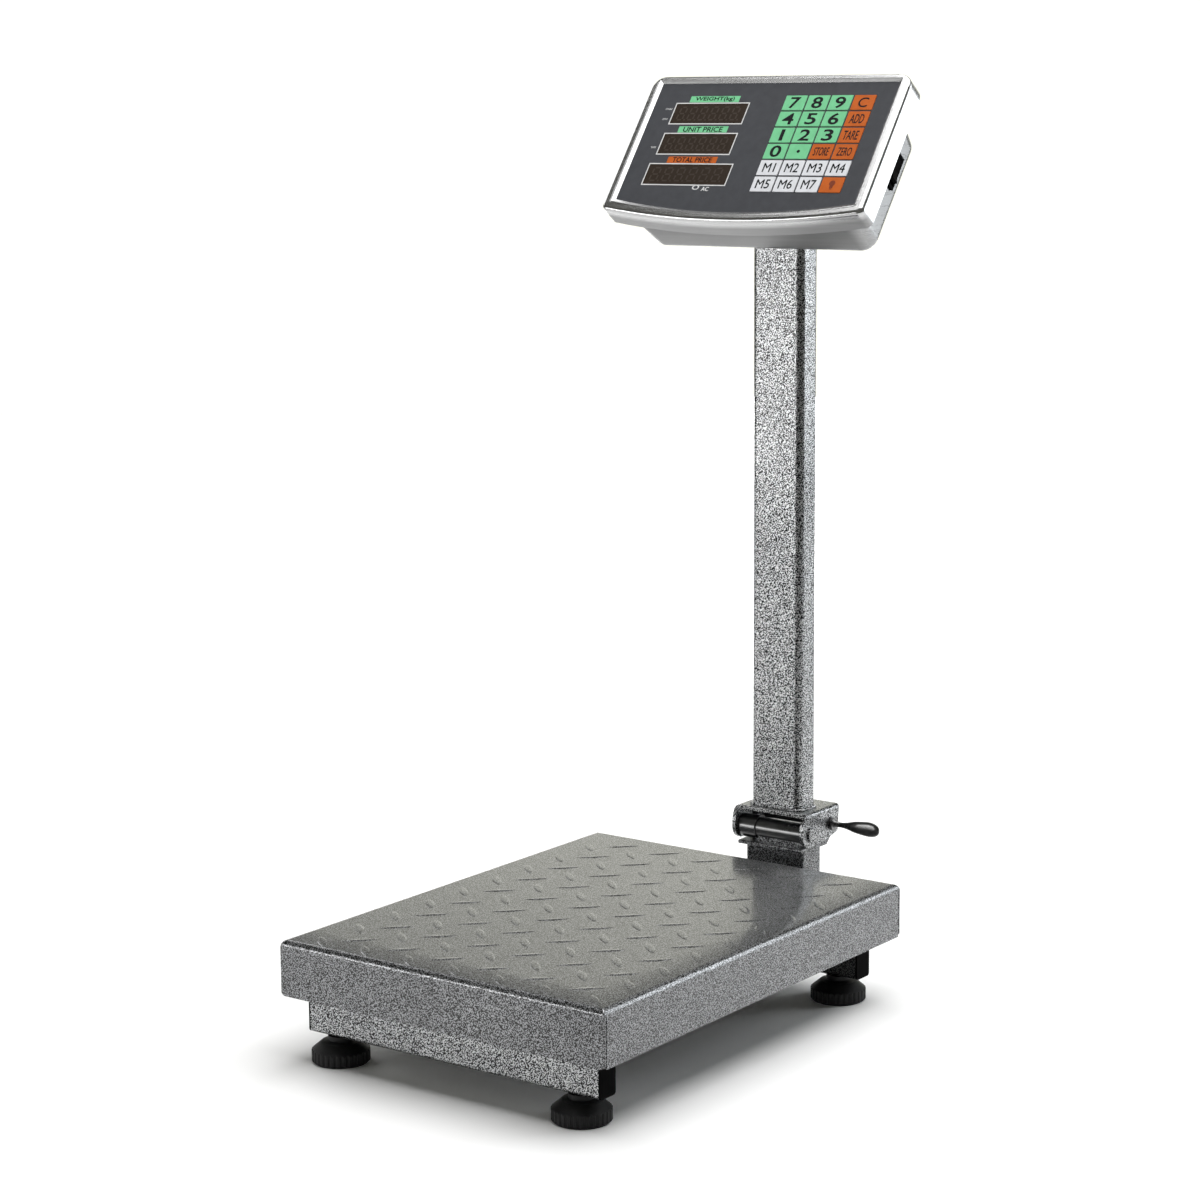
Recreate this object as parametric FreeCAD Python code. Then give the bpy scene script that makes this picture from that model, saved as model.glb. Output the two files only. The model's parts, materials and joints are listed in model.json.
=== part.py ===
"""Platform shipping scale: weighing tray on a tube base, folding mast, tilting keypad head.

Millimetres. X runs across the scale, Y from the front of the tray to the mast, Z up.
Parts are laid out from the floor point under the tray's centre and are moved by
ORIGIN_SHIFT at the end, so that the origin is under the middle of the whole scale.
"""
import FreeCAD, Part
import math
import os

V = FreeCAD.Vector
X_AXIS = V(1, 0, 0)
Y_AXIS = V(0, 1, 0)
Z_AXIS = V(0, 0, 1)

# weighing tray
TRAY_WIDTH = 300.0
TRAY_DEPTH = 400.0
TRAY_TOP = 93.0
TRAY_SKIRT = 43.0
TRAY_SHEET = 2.0
TRAY_BEND = 5.0
TRAY_INNER_BEND = 3.0
SEAM_GAP = 1.0
SEAM_START = 5.5

# base tubes, channel and feet
TUBE_LENGTH = 268.0
TUBE_WIDTH = 18.5
TUBE_HEIGHT = 40.0
TUBE_BOTTOM = 21.0
TUBE_WALL = 1.5
FRONT_TUBE_Y = -176.25
REAR_TUBE_Y = 167.75
CAP_LIP = 1.5
CHANNEL_WIDTH = 60.0
CHANNEL_WALL = 3.0
CHANNEL_BOTTOM = 24.0
CHANNEL_HEIGHT = 26.0
FOOT_X = 112.5
FOOT_RADIUS = 22.0
FOOT_RIM = 10.5
FOOT_SHOULDER = 17.0
FOOT_HUB_RADIUS = 9.5
FOOT_HEIGHT = 20.5
FOOT_RIBS = 30
STEM_RADIUS = 4.0
RUNNING_GAP = 0.06

# load cell and the spider frame that carries the tray
CELL_LENGTH = 130.0
CELL_WIDTH = 22.0
CELL_HEIGHT = 30.0
SPACER_HEIGHT = 5.0
SPACER_LENGTH = 30.0
CELL_BOLT_RADIUS = 3.0
CELL_BOLT_PITCH = 16.0
HUB_HALF = 40.0
HUB_THICKNESS = 4.0
ARM_WIDTH = 20.0
ARM_ROOT_X = 24.0
ARM_ROOT_Y = 66.0
PAD_X = 112.0
PAD_Y = 150.0
PAD_RADIUS = 12.0
PAD_HEIGHT = 3.0

# post and folding hinge
ARM_TUBE_WIDTH = 50.0
ARM_TUBE_HEIGHT = 24.0
POST_WIDTH = 57.0
POST_DEPTH = 27.5
POST_FRONT = 248.0
POST_TOP = 91.0
PIN_Y = 250.0
PIN_Z = 105.5
PIN_RADIUS = 5.0
BARREL_RADIUS = 8.8
BARREL_LEFT = -14.5
BARREL_RIGHT = 30.0
COLLAR_RADIUS = 10.0
PIN_CAP_RADIUS = 6.5
LOWER_PLATE = 3.0
LOWER_PLATE_FRONT = 240.5
INNER_EAR_X = 31.5
OUTER_EAR_X = 35.0
EAR_SHEET = 3.0
BRACKET_FRONT = 236.5
BRACKET_PLATE_FRONT = 243.0
BRACKET_BACK = 294.0
BRACKET_TOP = 124.0
CLAMP_Y = 281.7
CLAMP_Z = 108.9
CLAMP_RADIUS = 4.0
CLAMP_NUT = 13.0
SPOON_LENGTH = 36.0
SPOON_WIDTH = 12.0
SPOON_THICKNESS = 3.6

# mast
COLUMN_WIDTH = 49.0
COLUMN_DEPTH = 26.0
COLUMN_CORNER = 6.0
COLUMN_WALL = 1.5
COLUMN_Y = 261.3
COLUMN_TOP = 592.0

# head: local u across, v up the face, n out of the face
FACE_BOTTOM_Y = 174.8
FACE_BOTTOM_Z = 623.2
FACE_LEAN = 53.6
RIM_HALF = 123.5
RIM_TOP = 131.5
RIM_BOW = 10.5
PANEL_HALF = 112.0
PANEL_TOP = 123.5
PANEL_CORNER = 10.5
PANEL_BOW = 10.5
PANEL_RECESS = 2.0
GROOVE_OUT = 4.9
GROOVE_IN = 4.1
FLANGE_DEPTH = 20.0
SHELL_SHEET = 1.5
BOX_HALF = 108.0
BOX_BACK_HALF = 105.0
BOX_BACK = 64.0
BOX_CORNER = 13.0
BOX_EDGE = 8.0
FASCIA_THICKNESS = 3.0
TILT_Y = 266.0
TILT_Z = 614.0
TILT_BOLT_RADIUS = 3.0
TILT_LUG = 8.0

# keypad and displays on the face
KEY_COLUMNS = 4
KEY_ROWS = 6
KEY_PITCH_U = 21.2
KEY_PITCH_V = 15.6
KEY_GAP = 1.4
KEYPAD_U = 54.9
KEYPAD_V = 65.3
KEY_THICKNESS = 1.3
KEY_PROUD = 0.4
KEY_WELL = 1.4
KEY_WELL_GAP = 0.25
KEY_NAMES = [
    ["7", "8", "9", "clear"],
    ["4", "5", "6", "add"],
    ["1", "2", "3", "tare"],
    ["0", "dot", "store", "zero"],
    ["m1", "m2", "m3", "m4"],
    ["m5", "m6", "m7", "lamp"],
]
WINDOW_HEIGHT = 19.5
WINDOW_PITCH = 29.8
WINDOW_TOP_V = 94.4
WINDOW_SIZES = [(-55.5, 70.0), (-55.5, 70.0), (-53.0, 80.0)]
WINDOW_THICKNESS = 1.2

# rocker switch in the right wall of the rear shell
SWITCH_V = 70.0
SWITCH_W = 44.0
SWITCH_LENGTH = 30.0
SWITCH_WIDTH = 14.0
ROCKER_TILT = 8.0

# mains inlet in the left wall of the rear shell
INLET_V = 62.0
INLET_W = 44.0
INLET_LENGTH = 26.0
INLET_WIDTH = 17.0

# the middle of the whole depth, tray front to hinge back
ORIGIN_SHIFT = V(0, -(BRACKET_BACK - TRAY_DEPTH / 2) / 2, 0)


def box(x0, x1, y0, y1, z0, z1):
    """Box between two corners."""
    return Part.makeBox(x1 - x0, y1 - y0, z1 - z0, V(x0, y0, z0))


def rod_x(radius, x0, x1, y, z):
    """Cylinder along X."""
    return Part.makeCylinder(radius, x1 - x0, V(x0, y, z), X_AXIS)


def rod_z(radius, x, y, z0, z1):
    """Upright cylinder."""
    return Part.makeCylinder(radius, z1 - z0, V(x, y, z0), Z_AXIS)


def edges_along(shape, axis):
    """Straight edges parallel to an axis."""
    found = []
    for edge in shape.Edges:
        start, end = edge.Vertexes[0].Point, edge.Vertexes[-1].Point
        run = end - start
        if run.Length > 0.1 and run.cross(axis).Length < 1e-6 * run.Length:
            found.append(edge)
    return found


def tube_between(x0, x1, y0, y1, z0, z1, axis, corner, wall):
    """Rectangular tube with round corners, open at both ends along an axis."""
    outer = box(x0, x1, y0, y1, z0, z1)
    outer = outer.makeFillet(corner, edges_along(outer, axis))
    grow = V(wall, wall, wall) - axis * wall
    inner = box(x0 + grow.x, x1 - grow.x, y0 + grow.y, y1 - grow.y, z0 + grow.z, z1 - grow.z)
    inner = inner.makeFillet(max(corner - wall, 0.5), edges_along(inner, axis))
    return outer.cut(inner)


def extrude_side(points, x0, x1):
    """Plate between x0 and x1 with a side outline given as (y, z) points."""
    corners = [V(x0, y, z) for y, z in points]
    face = Part.Face(Part.makePolygon(corners + [corners[0]]))
    return face.extrude(X_AXIS * (x1 - x0))


# ---------------------------------------------------------------- base

def cross_tube(y):
    """Tube across the base, with a weld nut over each foot stem."""
    half = TUBE_LENGTH / 2
    tube = tube_between(-half, half, y - TUBE_WIDTH / 2, y + TUBE_WIDTH / 2,
                        TUBE_BOTTOM, TUBE_BOTTOM + TUBE_HEIGHT, X_AXIS, 2.5, TUBE_WALL)
    for side in (-1, 1):
        x = side * FOOT_X
        nut_bottom = TUBE_BOTTOM + TUBE_WALL
        tube = tube.fuse(rod_z(6.5, x, y, nut_bottom, nut_bottom + 7))
        tube = tube.cut(rod_z(STEM_RADIUS + RUNNING_GAP, x, y, TUBE_BOTTOM - 1, nut_bottom + 8))
    return tube


def end_caps():
    """Four black plugs that close the ends of the two cross tubes."""
    caps = []
    for y in (FRONT_TUBE_Y, REAR_TUBE_Y):
        for side in (-1, 1):
            end = side * TUBE_LENGTH / 2
            low, high = sorted((end, end + side * CAP_LIP))
            lip = box(low, high, y - TUBE_WIDTH / 2, y + TUBE_WIDTH / 2,
                      TUBE_BOTTOM, TUBE_BOTTOM + TUBE_HEIGHT)
            lip = lip.makeFillet(2.5, edges_along(lip, X_AXIS))
            low, high = sorted((end, end - side * 9))
            inset = TUBE_WALL + 0.1
            plug = box(low, high, y - TUBE_WIDTH / 2 + inset, y + TUBE_WIDTH / 2 - inset,
                       TUBE_BOTTOM + inset, TUBE_BOTTOM + TUBE_HEIGHT - inset)
            plug = plug.makeFillet(1.0, edges_along(plug, X_AXIS))
            caps.append(lip.fuse(plug).removeSplitter())
    return Part.makeCompound(caps)


def base_channel():
    """U channel that joins the cross tubes and carries the load cell."""
    y0 = FRONT_TUBE_Y + TUBE_WIDTH / 2
    y1 = REAR_TUBE_Y - TUBE_WIDTH / 2
    half = CHANNEL_WIDTH / 2
    top = CHANNEL_BOTTOM + CHANNEL_HEIGHT
    channel = box(-half, half, y0, y1, CHANNEL_BOTTOM, top)
    lower = edges_along(channel, Y_AXIS)
    lower = [edge for edge in lower if edge.BoundBox.ZMax < CHANNEL_BOTTOM + 1]
    channel = channel.makeFillet(4.0, lower)
    channel = channel.cut(box(-half + CHANNEL_WALL, half - CHANNEL_WALL, y0 - 1, y1 + 1,
                              CHANNEL_BOTTOM + CHANNEL_WALL, top + 1))
    for y in cell_bolt_places(1):
        channel = channel.cut(rod_z(CELL_BOLT_RADIUS + 0.2, 0, y, CHANNEL_BOTTOM - 1, top))
    return channel


def rear_arm():
    """Flat tube from the rear cross tube out to the post behind the tray."""
    half = ARM_TUBE_WIDTH / 2
    y0 = REAR_TUBE_Y + TUBE_WIDTH / 2
    return tube_between(-half, half, y0, POST_FRONT, TUBE_BOTTOM + 0.5,
                        TUBE_BOTTOM + 0.5 + ARM_TUBE_HEIGHT, Y_AXIS, 2.5, 2.0)


def mast_post():
    """Short upright tube behind the tray that carries the hinge."""
    half = POST_WIDTH / 2
    return tube_between(-half, half, POST_FRONT, POST_FRONT + POST_DEPTH,
                        TUBE_BOTTOM + 0.5, POST_TOP, Z_AXIS, 2.2, 2.0)


def levelling_foot(x, y):
    """Foot with a ribbed rim, a hub and a screw stem."""
    profile = [(0, 0), (FOOT_RADIUS - 1.5, 0), (FOOT_RADIUS, 1.5), (FOOT_RADIUS, FOOT_RIM - 1),
               (FOOT_RADIUS - 1.2, FOOT_RIM), (FOOT_HUB_RADIUS + 5, FOOT_SHOULDER - 1.2),
               (FOOT_HUB_RADIUS, FOOT_SHOULDER), (FOOT_HUB_RADIUS, FOOT_HEIGHT),
               (STEM_RADIUS, FOOT_HEIGHT), (STEM_RADIUS, FOOT_HEIGHT + 28), (0, FOOT_HEIGHT + 28)]
    corners = [V(r, 0, z) for r, z in profile]
    face = Part.Face(Part.makePolygon(corners + [corners[0]]))
    foot = face.revolve(V(0, 0, 0), Z_AXIS, 360)
    grooves = []
    for i in range(FOOT_RIBS):
        angle = 2 * math.pi * i / FOOT_RIBS
        reach = FOOT_RADIUS + 0.9
        grooves.append(rod_z(1.7, reach * math.cos(angle), reach * math.sin(angle), 1.5, FOOT_RIM + 1))
    foot = foot.cut(Part.makeCompound(grooves))
    foot.translate(V(x, y, 0))
    return foot


# ---------------------------------------------------------------- load cell and tray

def cell_bolt_places(end):
    """Y of the two bolts at the front (-1) or rear (1) end of the load cell."""
    middle = end * (CELL_LENGTH - SPACER_LENGTH) / 2
    return [middle - CELL_BOLT_PITCH / 2, middle + CELL_BOLT_PITCH / 2]


def cell_bottom():
    """Height of the load cell's underside."""
    return CHANNEL_BOTTOM + CHANNEL_WALL + SPACER_HEIGHT


def hub_bottom():
    """Height of the spider hub's underside."""
    return cell_bottom() + CELL_HEIGHT + SPACER_HEIGHT


def load_cell():
    """Single point load cell: a bar with a double hole that lets it bend."""
    z0 = cell_bottom()
    half = CELL_LENGTH / 2
    cell = box(-CELL_WIDTH / 2, CELL_WIDTH / 2, -half, half, z0, z0 + CELL_HEIGHT)
    cell = cell.makeChamfer(0.8, edges_along(cell, Y_AXIS))
    middle = z0 + CELL_HEIGHT / 2
    for y in (-13, 13):
        cell = cell.cut(rod_x(11.5, -CELL_WIDTH, CELL_WIDTH, y, middle))
    cell = cell.cut(box(-CELL_WIDTH, CELL_WIDTH, -13, 13, middle - 5, middle + 5))
    for y in cell_bolt_places(1):
        cell = cell.cut(rod_z(CELL_BOLT_RADIUS, 0, y, z0 - 1, z0 + 14))
    for y in cell_bolt_places(-1):
        cell = cell.cut(rod_z(CELL_BOLT_RADIUS, 0, y, z0 + 16, z0 + CELL_HEIGHT + 1))
    return cell


def load_cell_spacers():
    """Plates that hold the bar clear of the channel below and of the hub above."""
    plates = []
    for end, z0 in ((1, CHANNEL_BOTTOM + CHANNEL_WALL), (-1, cell_bottom() + CELL_HEIGHT)):
        middle = end * (CELL_LENGTH - SPACER_LENGTH) / 2
        plate = box(-CELL_WIDTH / 2, CELL_WIDTH / 2, middle - SPACER_LENGTH / 2,
                    middle + SPACER_LENGTH / 2, z0, z0 + SPACER_HEIGHT)
        for y in cell_bolt_places(end):
            plate = plate.cut(rod_z(CELL_BOLT_RADIUS + 0.2, 0, y, z0 - 1, z0 + SPACER_HEIGHT + 1))
        plates.append(plate)
    return Part.makeCompound(plates)


def hex_prism(across_flats, x, y, z0, z1):
    """Upright hexagonal prism."""
    reach = across_flats / math.sqrt(3)
    corners = []
    for i in range(6):
        angle = math.pi * i / 3
        corners.append(V(x + reach * math.cos(angle), y + reach * math.sin(angle), z0))
    return Part.Face(Part.makePolygon(corners + [corners[0]])).extrude(Z_AXIS * (z1 - z0))


def load_cell_bolts():
    """Two bolts up through the channel and two down through the hub."""
    bolts = []
    for y in cell_bolt_places(1):
        shank = rod_z(CELL_BOLT_RADIUS, 0, y, CHANNEL_BOTTOM, cell_bottom() + 13)
        head = hex_prism(10, 0, y, CHANNEL_BOTTOM - 3, CHANNEL_BOTTOM)
        bolts.append(shank.fuse(head))
    hub_top = hub_bottom() + HUB_THICKNESS
    for y in cell_bolt_places(-1):
        shank = rod_z(CELL_BOLT_RADIUS, 0, y, cell_bottom() + CELL_HEIGHT - 13, hub_top)
        head = hex_prism(10, 0, y, hub_top, hub_top + 4)
        bolts.append(shank.fuse(head))
    return Part.makeCompound(bolts)


def spider_frame():
    """Hub plate with four arms that spread the tray's load onto the load cell."""
    z0 = hub_bottom()
    top = TRAY_TOP - TRAY_SHEET - PAD_HEIGHT
    hub = box(-HUB_HALF, HUB_HALF, -2 * HUB_HALF, 2 * HUB_HALF, z0, z0 + HUB_THICKNESS)
    for y in cell_bolt_places(-1):
        hub = hub.cut(rod_z(CELL_BOLT_RADIUS + 0.2, 0, y, z0 - 1, z0 + HUB_THICKNESS + 1))
    frame = hub
    run = math.hypot(PAD_X - ARM_ROOT_X, PAD_Y - ARM_ROOT_Y)
    turn = math.degrees(math.atan2(PAD_Y - ARM_ROOT_Y, PAD_X - ARM_ROOT_X))
    for side_x in (-1, 1):
        for side_y in (-1, 1):
            arm = tube_between(-8, run + 13, -ARM_WIDTH / 2, ARM_WIDTH / 2,
                               z0 + HUB_THICKNESS, top, X_AXIS, 2.0, 1.5)
            angle = turn if side_y > 0 else -turn
            if side_x < 0:
                angle = 180 - angle
            arm.rotate(V(0, 0, 0), Z_AXIS, angle)
            arm.translate(V(side_x * ARM_ROOT_X, side_y * ARM_ROOT_Y, 0))
            frame = frame.fuse(arm)
    return frame.removeSplitter()


def tray_rest_pads():
    """Rubber discs on the spider arms that the tray lies on."""
    top = TRAY_TOP - TRAY_SHEET
    pads = []
    for side_x in (-1, 1):
        for side_y in (-1, 1):
            pad = rod_z(PAD_RADIUS, side_x * PAD_X, side_y * PAD_Y, top - PAD_HEIGHT, top)
            pads.append(pad)
    return Part.makeCompound(pads)


def weighing_tray():
    """Folded sheet cover: flat top, four skirts, open seams beside each corner."""
    half_x, half_y = TRAY_WIDTH / 2, TRAY_DEPTH / 2
    bottom = TRAY_TOP - TRAY_SKIRT
    outer = box(-half_x, half_x, -half_y, half_y, bottom, TRAY_TOP)
    outer = outer.makeFillet(0.8, edges_along(outer, Z_AXIS))
    rim = [edge for edge in outer.Edges if edge.BoundBox.ZMin > TRAY_TOP - 0.01]
    outer = outer.makeFillet(TRAY_BEND, rim)
    inner = box(-half_x + TRAY_SHEET, half_x - TRAY_SHEET, -half_y + TRAY_SHEET,
                half_y - TRAY_SHEET, bottom - 1, TRAY_TOP - TRAY_SHEET)
    upper = [edge for edge in inner.Edges if edge.BoundBox.ZMin > TRAY_TOP - TRAY_SHEET - 0.01]
    tray = outer.cut(inner.makeFillet(TRAY_INNER_BEND, upper))
    corner = 4.0
    for side_x in (-1, 1):
        for side_y in (-1, 1):
            seam_y = side_y * (half_y - TRAY_SHEET)
            low, high = sorted((seam_y, seam_y - side_y * SEAM_GAP))
            left, right = sorted((side_x * (half_x - 3), side_x * (half_x + 1)))
            tray = tray.cut(box(left, right, low, high, bottom - 1, TRAY_TOP - SEAM_START))
            left, right = sorted((side_x * (half_x - corner), side_x * (half_x + 1)))
            low, high = sorted((seam_y - side_y * SEAM_GAP, side_y * (half_y + 1)))
            notch = box(left, right, low, high, bottom - 1, bottom + corner)
            centre = V(side_x * (half_x - corner), low - 1, bottom + corner)
            notch = notch.cut(Part.makeCylinder(corner, high - low + 2, centre, Y_AXIS))
            tray = tray.cut(notch)
    return tray


# ---------------------------------------------------------------- hinge

def lower_hinge_bracket():
    """Plate on the post with two notched ears that the clamp screw drops into."""
    half = INNER_EAR_X
    bottom = POST_TOP
    top = bottom + LOWER_PLATE
    plate = box(-half, half, LOWER_PLATE_FRONT, 280.0, bottom, top)
    nose = [edge for edge in edges_along(plate, X_AXIS) if edge.BoundBox.YMax < LOWER_PLATE_FRONT + 0.1]
    plate = plate.makeFillet(1.2, nose)
    cradle = box(BARREL_LEFT, BARREL_RIGHT - 3.2, PIN_Y - 6, PIN_Y + 6, top, PIN_Z - 6.5)
    bracket = plate.fuse(cradle)
    slot_radius = math.hypot(CLAMP_Y - PIN_Y, CLAMP_Z - PIN_Z)
    slot_half = CLAMP_RADIUS + 0.6
    outline = [(262.0, top), (280.0, bottom), (289.5, 101.0), (289.5, 118.0), (266.0, 118.0)]
    for side in (-1, 1):
        x0, x1 = sorted((side * (half - EAR_SHEET), side * half))
        bracket = bracket.fuse(extrude_side(outline, x0, x1))
    arc = Part.makeCylinder(slot_radius + slot_half, 2 * half + 2, V(-half - 1, PIN_Y, PIN_Z), X_AXIS)
    arc = arc.cut(rod_x(slot_radius - slot_half, -half - 2, half + 2, PIN_Y, PIN_Z))
    arc = arc.common(box(-half - 1, half + 1, PIN_Y, CLAMP_Y + 20, CLAMP_Z, 130))
    notch = arc.fuse(rod_x(slot_half, -half - 1, half + 1, CLAMP_Y, CLAMP_Z))
    bracket = bracket.cut(notch)
    return bracket.cut(rod_x(BARREL_RADIUS, BARREL_LEFT - 1, half + 1, PIN_Y, PIN_Z))


def hinge_barrel():
    """Tube on the lower bracket that the hinge pin turns in."""
    barrel = rod_x(BARREL_RADIUS, BARREL_LEFT, BARREL_RIGHT, PIN_Y, PIN_Z)
    return barrel.cut(rod_x(PIN_RADIUS + RUNNING_GAP, BARREL_LEFT - 1, BARREL_RIGHT + 1, PIN_Y, PIN_Z))


def hinge_pin():
    """Pin with a wide collar beside the barrel and a riveted end."""
    outer = OUTER_EAR_X
    shaft = rod_x(PIN_RADIUS, -outer - 1.5, outer, PIN_Y, PIN_Z)
    tail = rod_x(7.0, -outer - 2, -outer, PIN_Y, PIN_Z)
    collar = rod_x(COLLAR_RADIUS, -outer + EAR_SHEET, BARREL_LEFT - 0.4, PIN_Y, PIN_Z)
    rims = [edge for edge in collar.Edges if edge.BoundBox.XLength < 0.01]
    return shaft.fuse([tail, collar.makeFillet(0.8, rims)])


def bracket_side():
    """Side outline of the upper bracket, with a round nose in front of the pin."""
    top_front = V(0, BRACKET_PLATE_FRONT, BRACKET_TOP)
    nose_top = V(0, BRACKET_FRONT, PIN_Z + 5.5)
    nose_bottom = V(0, BRACKET_FRONT, PIN_Z + 1.5)
    under = V(0, PIN_Y - 1.5, 95.2)
    back_low = V(0, 273.7, 96.3)
    back_mid = V(0, 291.6, 101.3)
    back_top = V(0, BRACKET_BACK, BRACKET_TOP)
    return Part.Face(Part.Wire([
        Part.Arc(top_front, V(0, BRACKET_FRONT + 2.0, PIN_Z + 13.0), nose_top).toShape(),
        Part.makeLine(nose_top, nose_bottom),
        Part.Arc(nose_bottom, V(0, PIN_Y - 10.0, PIN_Z - 7.1), under).toShape(),
        Part.makeLine(under, back_low),
        Part.makeLine(back_low, back_mid),
        Part.makeLine(back_mid, back_top),
        Part.makeLine(back_top, top_front),
    ]))


def clamp_nut():
    """Hexagon nut welded to the left ear for the clamp screw."""
    nut = hex_prism(CLAMP_NUT, 0, 0, 0, 6.5)
    nut.rotate(V(0, 0, 0), Y_AXIS, -90)
    nut.translate(V(-OUTER_EAR_X, CLAMP_Y, CLAMP_Z))
    return nut


def upper_hinge_bracket():
    """Inverted U under the mast, with its ears outside the fixed ears."""
    outer = OUTER_EAR_X
    side = bracket_side()
    side.translate(X_AXIS * -outer)
    bracket = side.extrude(X_AXIS * 2 * outer)
    bend = [edge for edge in edges_along(bracket, Y_AXIS) if edge.BoundBox.ZMin > BRACKET_TOP - 0.1]
    bracket = bracket.makeFillet(3.0, bend)
    inner = outer - EAR_SHEET
    bracket = bracket.cut(box(-inner, inner, 220, 310, 80, BRACKET_TOP - EAR_SHEET))
    bracket = bracket.cut(rod_x(PIN_RADIUS, -outer - 1, outer + 1, PIN_Y, PIN_Z))
    pin_cap = rod_x(PIN_CAP_RADIUS, outer, outer + 2.2, PIN_Y, PIN_Z)
    pin_cap = pin_cap.makeFillet(0.8, [edge for edge in pin_cap.Edges if edge.BoundBox.XMin > outer + 2])
    bracket = bracket.fuse([pin_cap, clamp_nut()])
    return bracket.cut(rod_x(CLAMP_RADIUS + RUNNING_GAP, -outer - 9, outer + 1, CLAMP_Y, CLAMP_Z))


def lever_section(x, half_y, half_z):
    """Oval section of the clamp lever at a place along its axis."""
    centre = V(x, CLAMP_Y, CLAMP_Z)
    oval = Part.Ellipse(centre + Z_AXIS * half_z, centre + Y_AXIS * half_y, centre)
    return Part.Wire([oval.toShape()])


def clamp_lever():
    """Clamp screw with a boss, a thin neck and a flat spoon handle on its end."""
    start = OUTER_EAR_X + 0.4
    screw = rod_x(CLAMP_RADIUS, -OUTER_EAR_X - 9, start, CLAMP_Y, CLAMP_Z)
    boss = rod_x(5.6, start, start + 3, CLAMP_Y, CLAMP_Z)
    half_y, half_z = SPOON_THICKNESS / 2, SPOON_WIDTH / 2
    spoon_start = start + 10
    spoon_end = spoon_start + SPOON_LENGTH
    handle = Part.makeLoft([
        lever_section(start + 2, 4.3, 4.4),
        lever_section(spoon_start - 4, 2.3, 2.5),
        lever_section(spoon_start, half_y * 0.95, 2.2),
        lever_section(spoon_start + 0.28 * SPOON_LENGTH, half_y, half_z * 0.72),
        lever_section(spoon_start + 0.6 * SPOON_LENGTH, half_y, half_z),
        lever_section(spoon_end - 5, half_y * 0.95, half_z * 0.95),
        lever_section(spoon_end - 1.3, half_y * 0.7, half_z * 0.62),
        lever_section(spoon_end, half_y * 0.3, half_z * 0.28),
    ], True)
    return screw.fuse([boss, handle])


def column_tube():
    """Rectangular mast tube with round corners."""
    half = COLUMN_WIDTH / 2
    front = COLUMN_Y - COLUMN_DEPTH / 2
    tube = tube_between(-half, half, front, front + COLUMN_DEPTH, BRACKET_TOP, COLUMN_TOP,
                        Z_AXIS, COLUMN_CORNER, COLUMN_WALL)
    return tube


def column_yoke():
    """Plug in the top of the mast with a lug for the head's tilt bolt."""
    half = COLUMN_WIDTH / 2
    front = COLUMN_Y - COLUMN_DEPTH / 2
    back = front + COLUMN_DEPTH
    cap = box(-half, half, front, back, COLUMN_TOP, COLUMN_TOP + 3)
    cap = cap.makeFillet(COLUMN_CORNER, edges_along(cap, Z_AXIS))
    inset = COLUMN_WALL + 0.2
    plug = box(-half + inset, half - inset, front + inset, back - inset, COLUMN_TOP - 16, COLUMN_TOP)
    plug = plug.makeFillet(COLUMN_CORNER - inset, edges_along(plug, Z_AXIS))
    lug = box(-8, 8, TILT_Y - TILT_LUG, TILT_Y + TILT_LUG, COLUMN_TOP + 3, TILT_Z)
    lug = lug.fuse(rod_x(TILT_LUG, -8, 8, TILT_Y, TILT_Z))
    yoke = cap.fuse([plug, lug]).removeSplitter()
    return yoke.cut(rod_x(TILT_BOLT_RADIUS + RUNNING_GAP, -10, 10, TILT_Y, TILT_Z))


# ---------------------------------------------------------------- head

def on_head(shape):
    """Move a shape from the head's own frame to its place on the mast."""
    placed = shape.copy()
    placed.rotate(V(0, 0, 0), X_AXIS, FACE_LEAN)
    placed.translate(V(0, FACE_BOTTOM_Y, FACE_BOTTOM_Z))
    return placed


def head_frame_point(y, z):
    """(v, n) of a point of the side view in the head's own frame."""
    lean = math.radians(FACE_LEAN)
    dy, dz = y - FACE_BOTTOM_Y, z - FACE_BOTTOM_Z
    return dy * math.cos(lean) + dz * math.sin(lean), -dy * math.sin(lean) + dz * math.cos(lean)


def face_wire(half, top, corner, bow, n):
    """Face outline: straight sides and top, bottom bowed downwards by an arc."""
    left, right = V(-half, corner, n), V(half, corner, n)
    return Part.Wire([
        Part.Arc(left, V(0, corner - bow, n), right).toShape(),
        Part.makeLine(right, V(half, top, n)),
        Part.makeLine(V(half, top, n), V(-half, top, n)),
        Part.makeLine(V(-half, top, n), left),
    ])


def face_block(half, top, corner, bow, front, back, top_radius, bottom_radius):
    """Solid with the face outline between two depths behind the face."""
    block = Part.Face(face_wire(half, top, corner, bow, -back)).extrude(Z_AXIS * (back - front))
    upright = edges_along(block, Z_AXIS)
    upper = [edge for edge in upright if edge.BoundBox.YMin > top / 2]
    block = block.makeFillet(top_radius, upper)
    upright = edges_along(block, Z_AXIS)
    lower = [edge for edge in upright if edge.BoundBox.YMax < corner + 1]
    return block.makeFillet(bottom_radius, lower)


def boss_places():
    """(u, v) of the six screw bosses between the two shells."""
    return [(-118.0, 12.0), (-118.0, 66.0), (-118.0, 120.0),
            (118.0, 12.0), (118.0, 66.0), (118.0, 120.0)]


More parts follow.
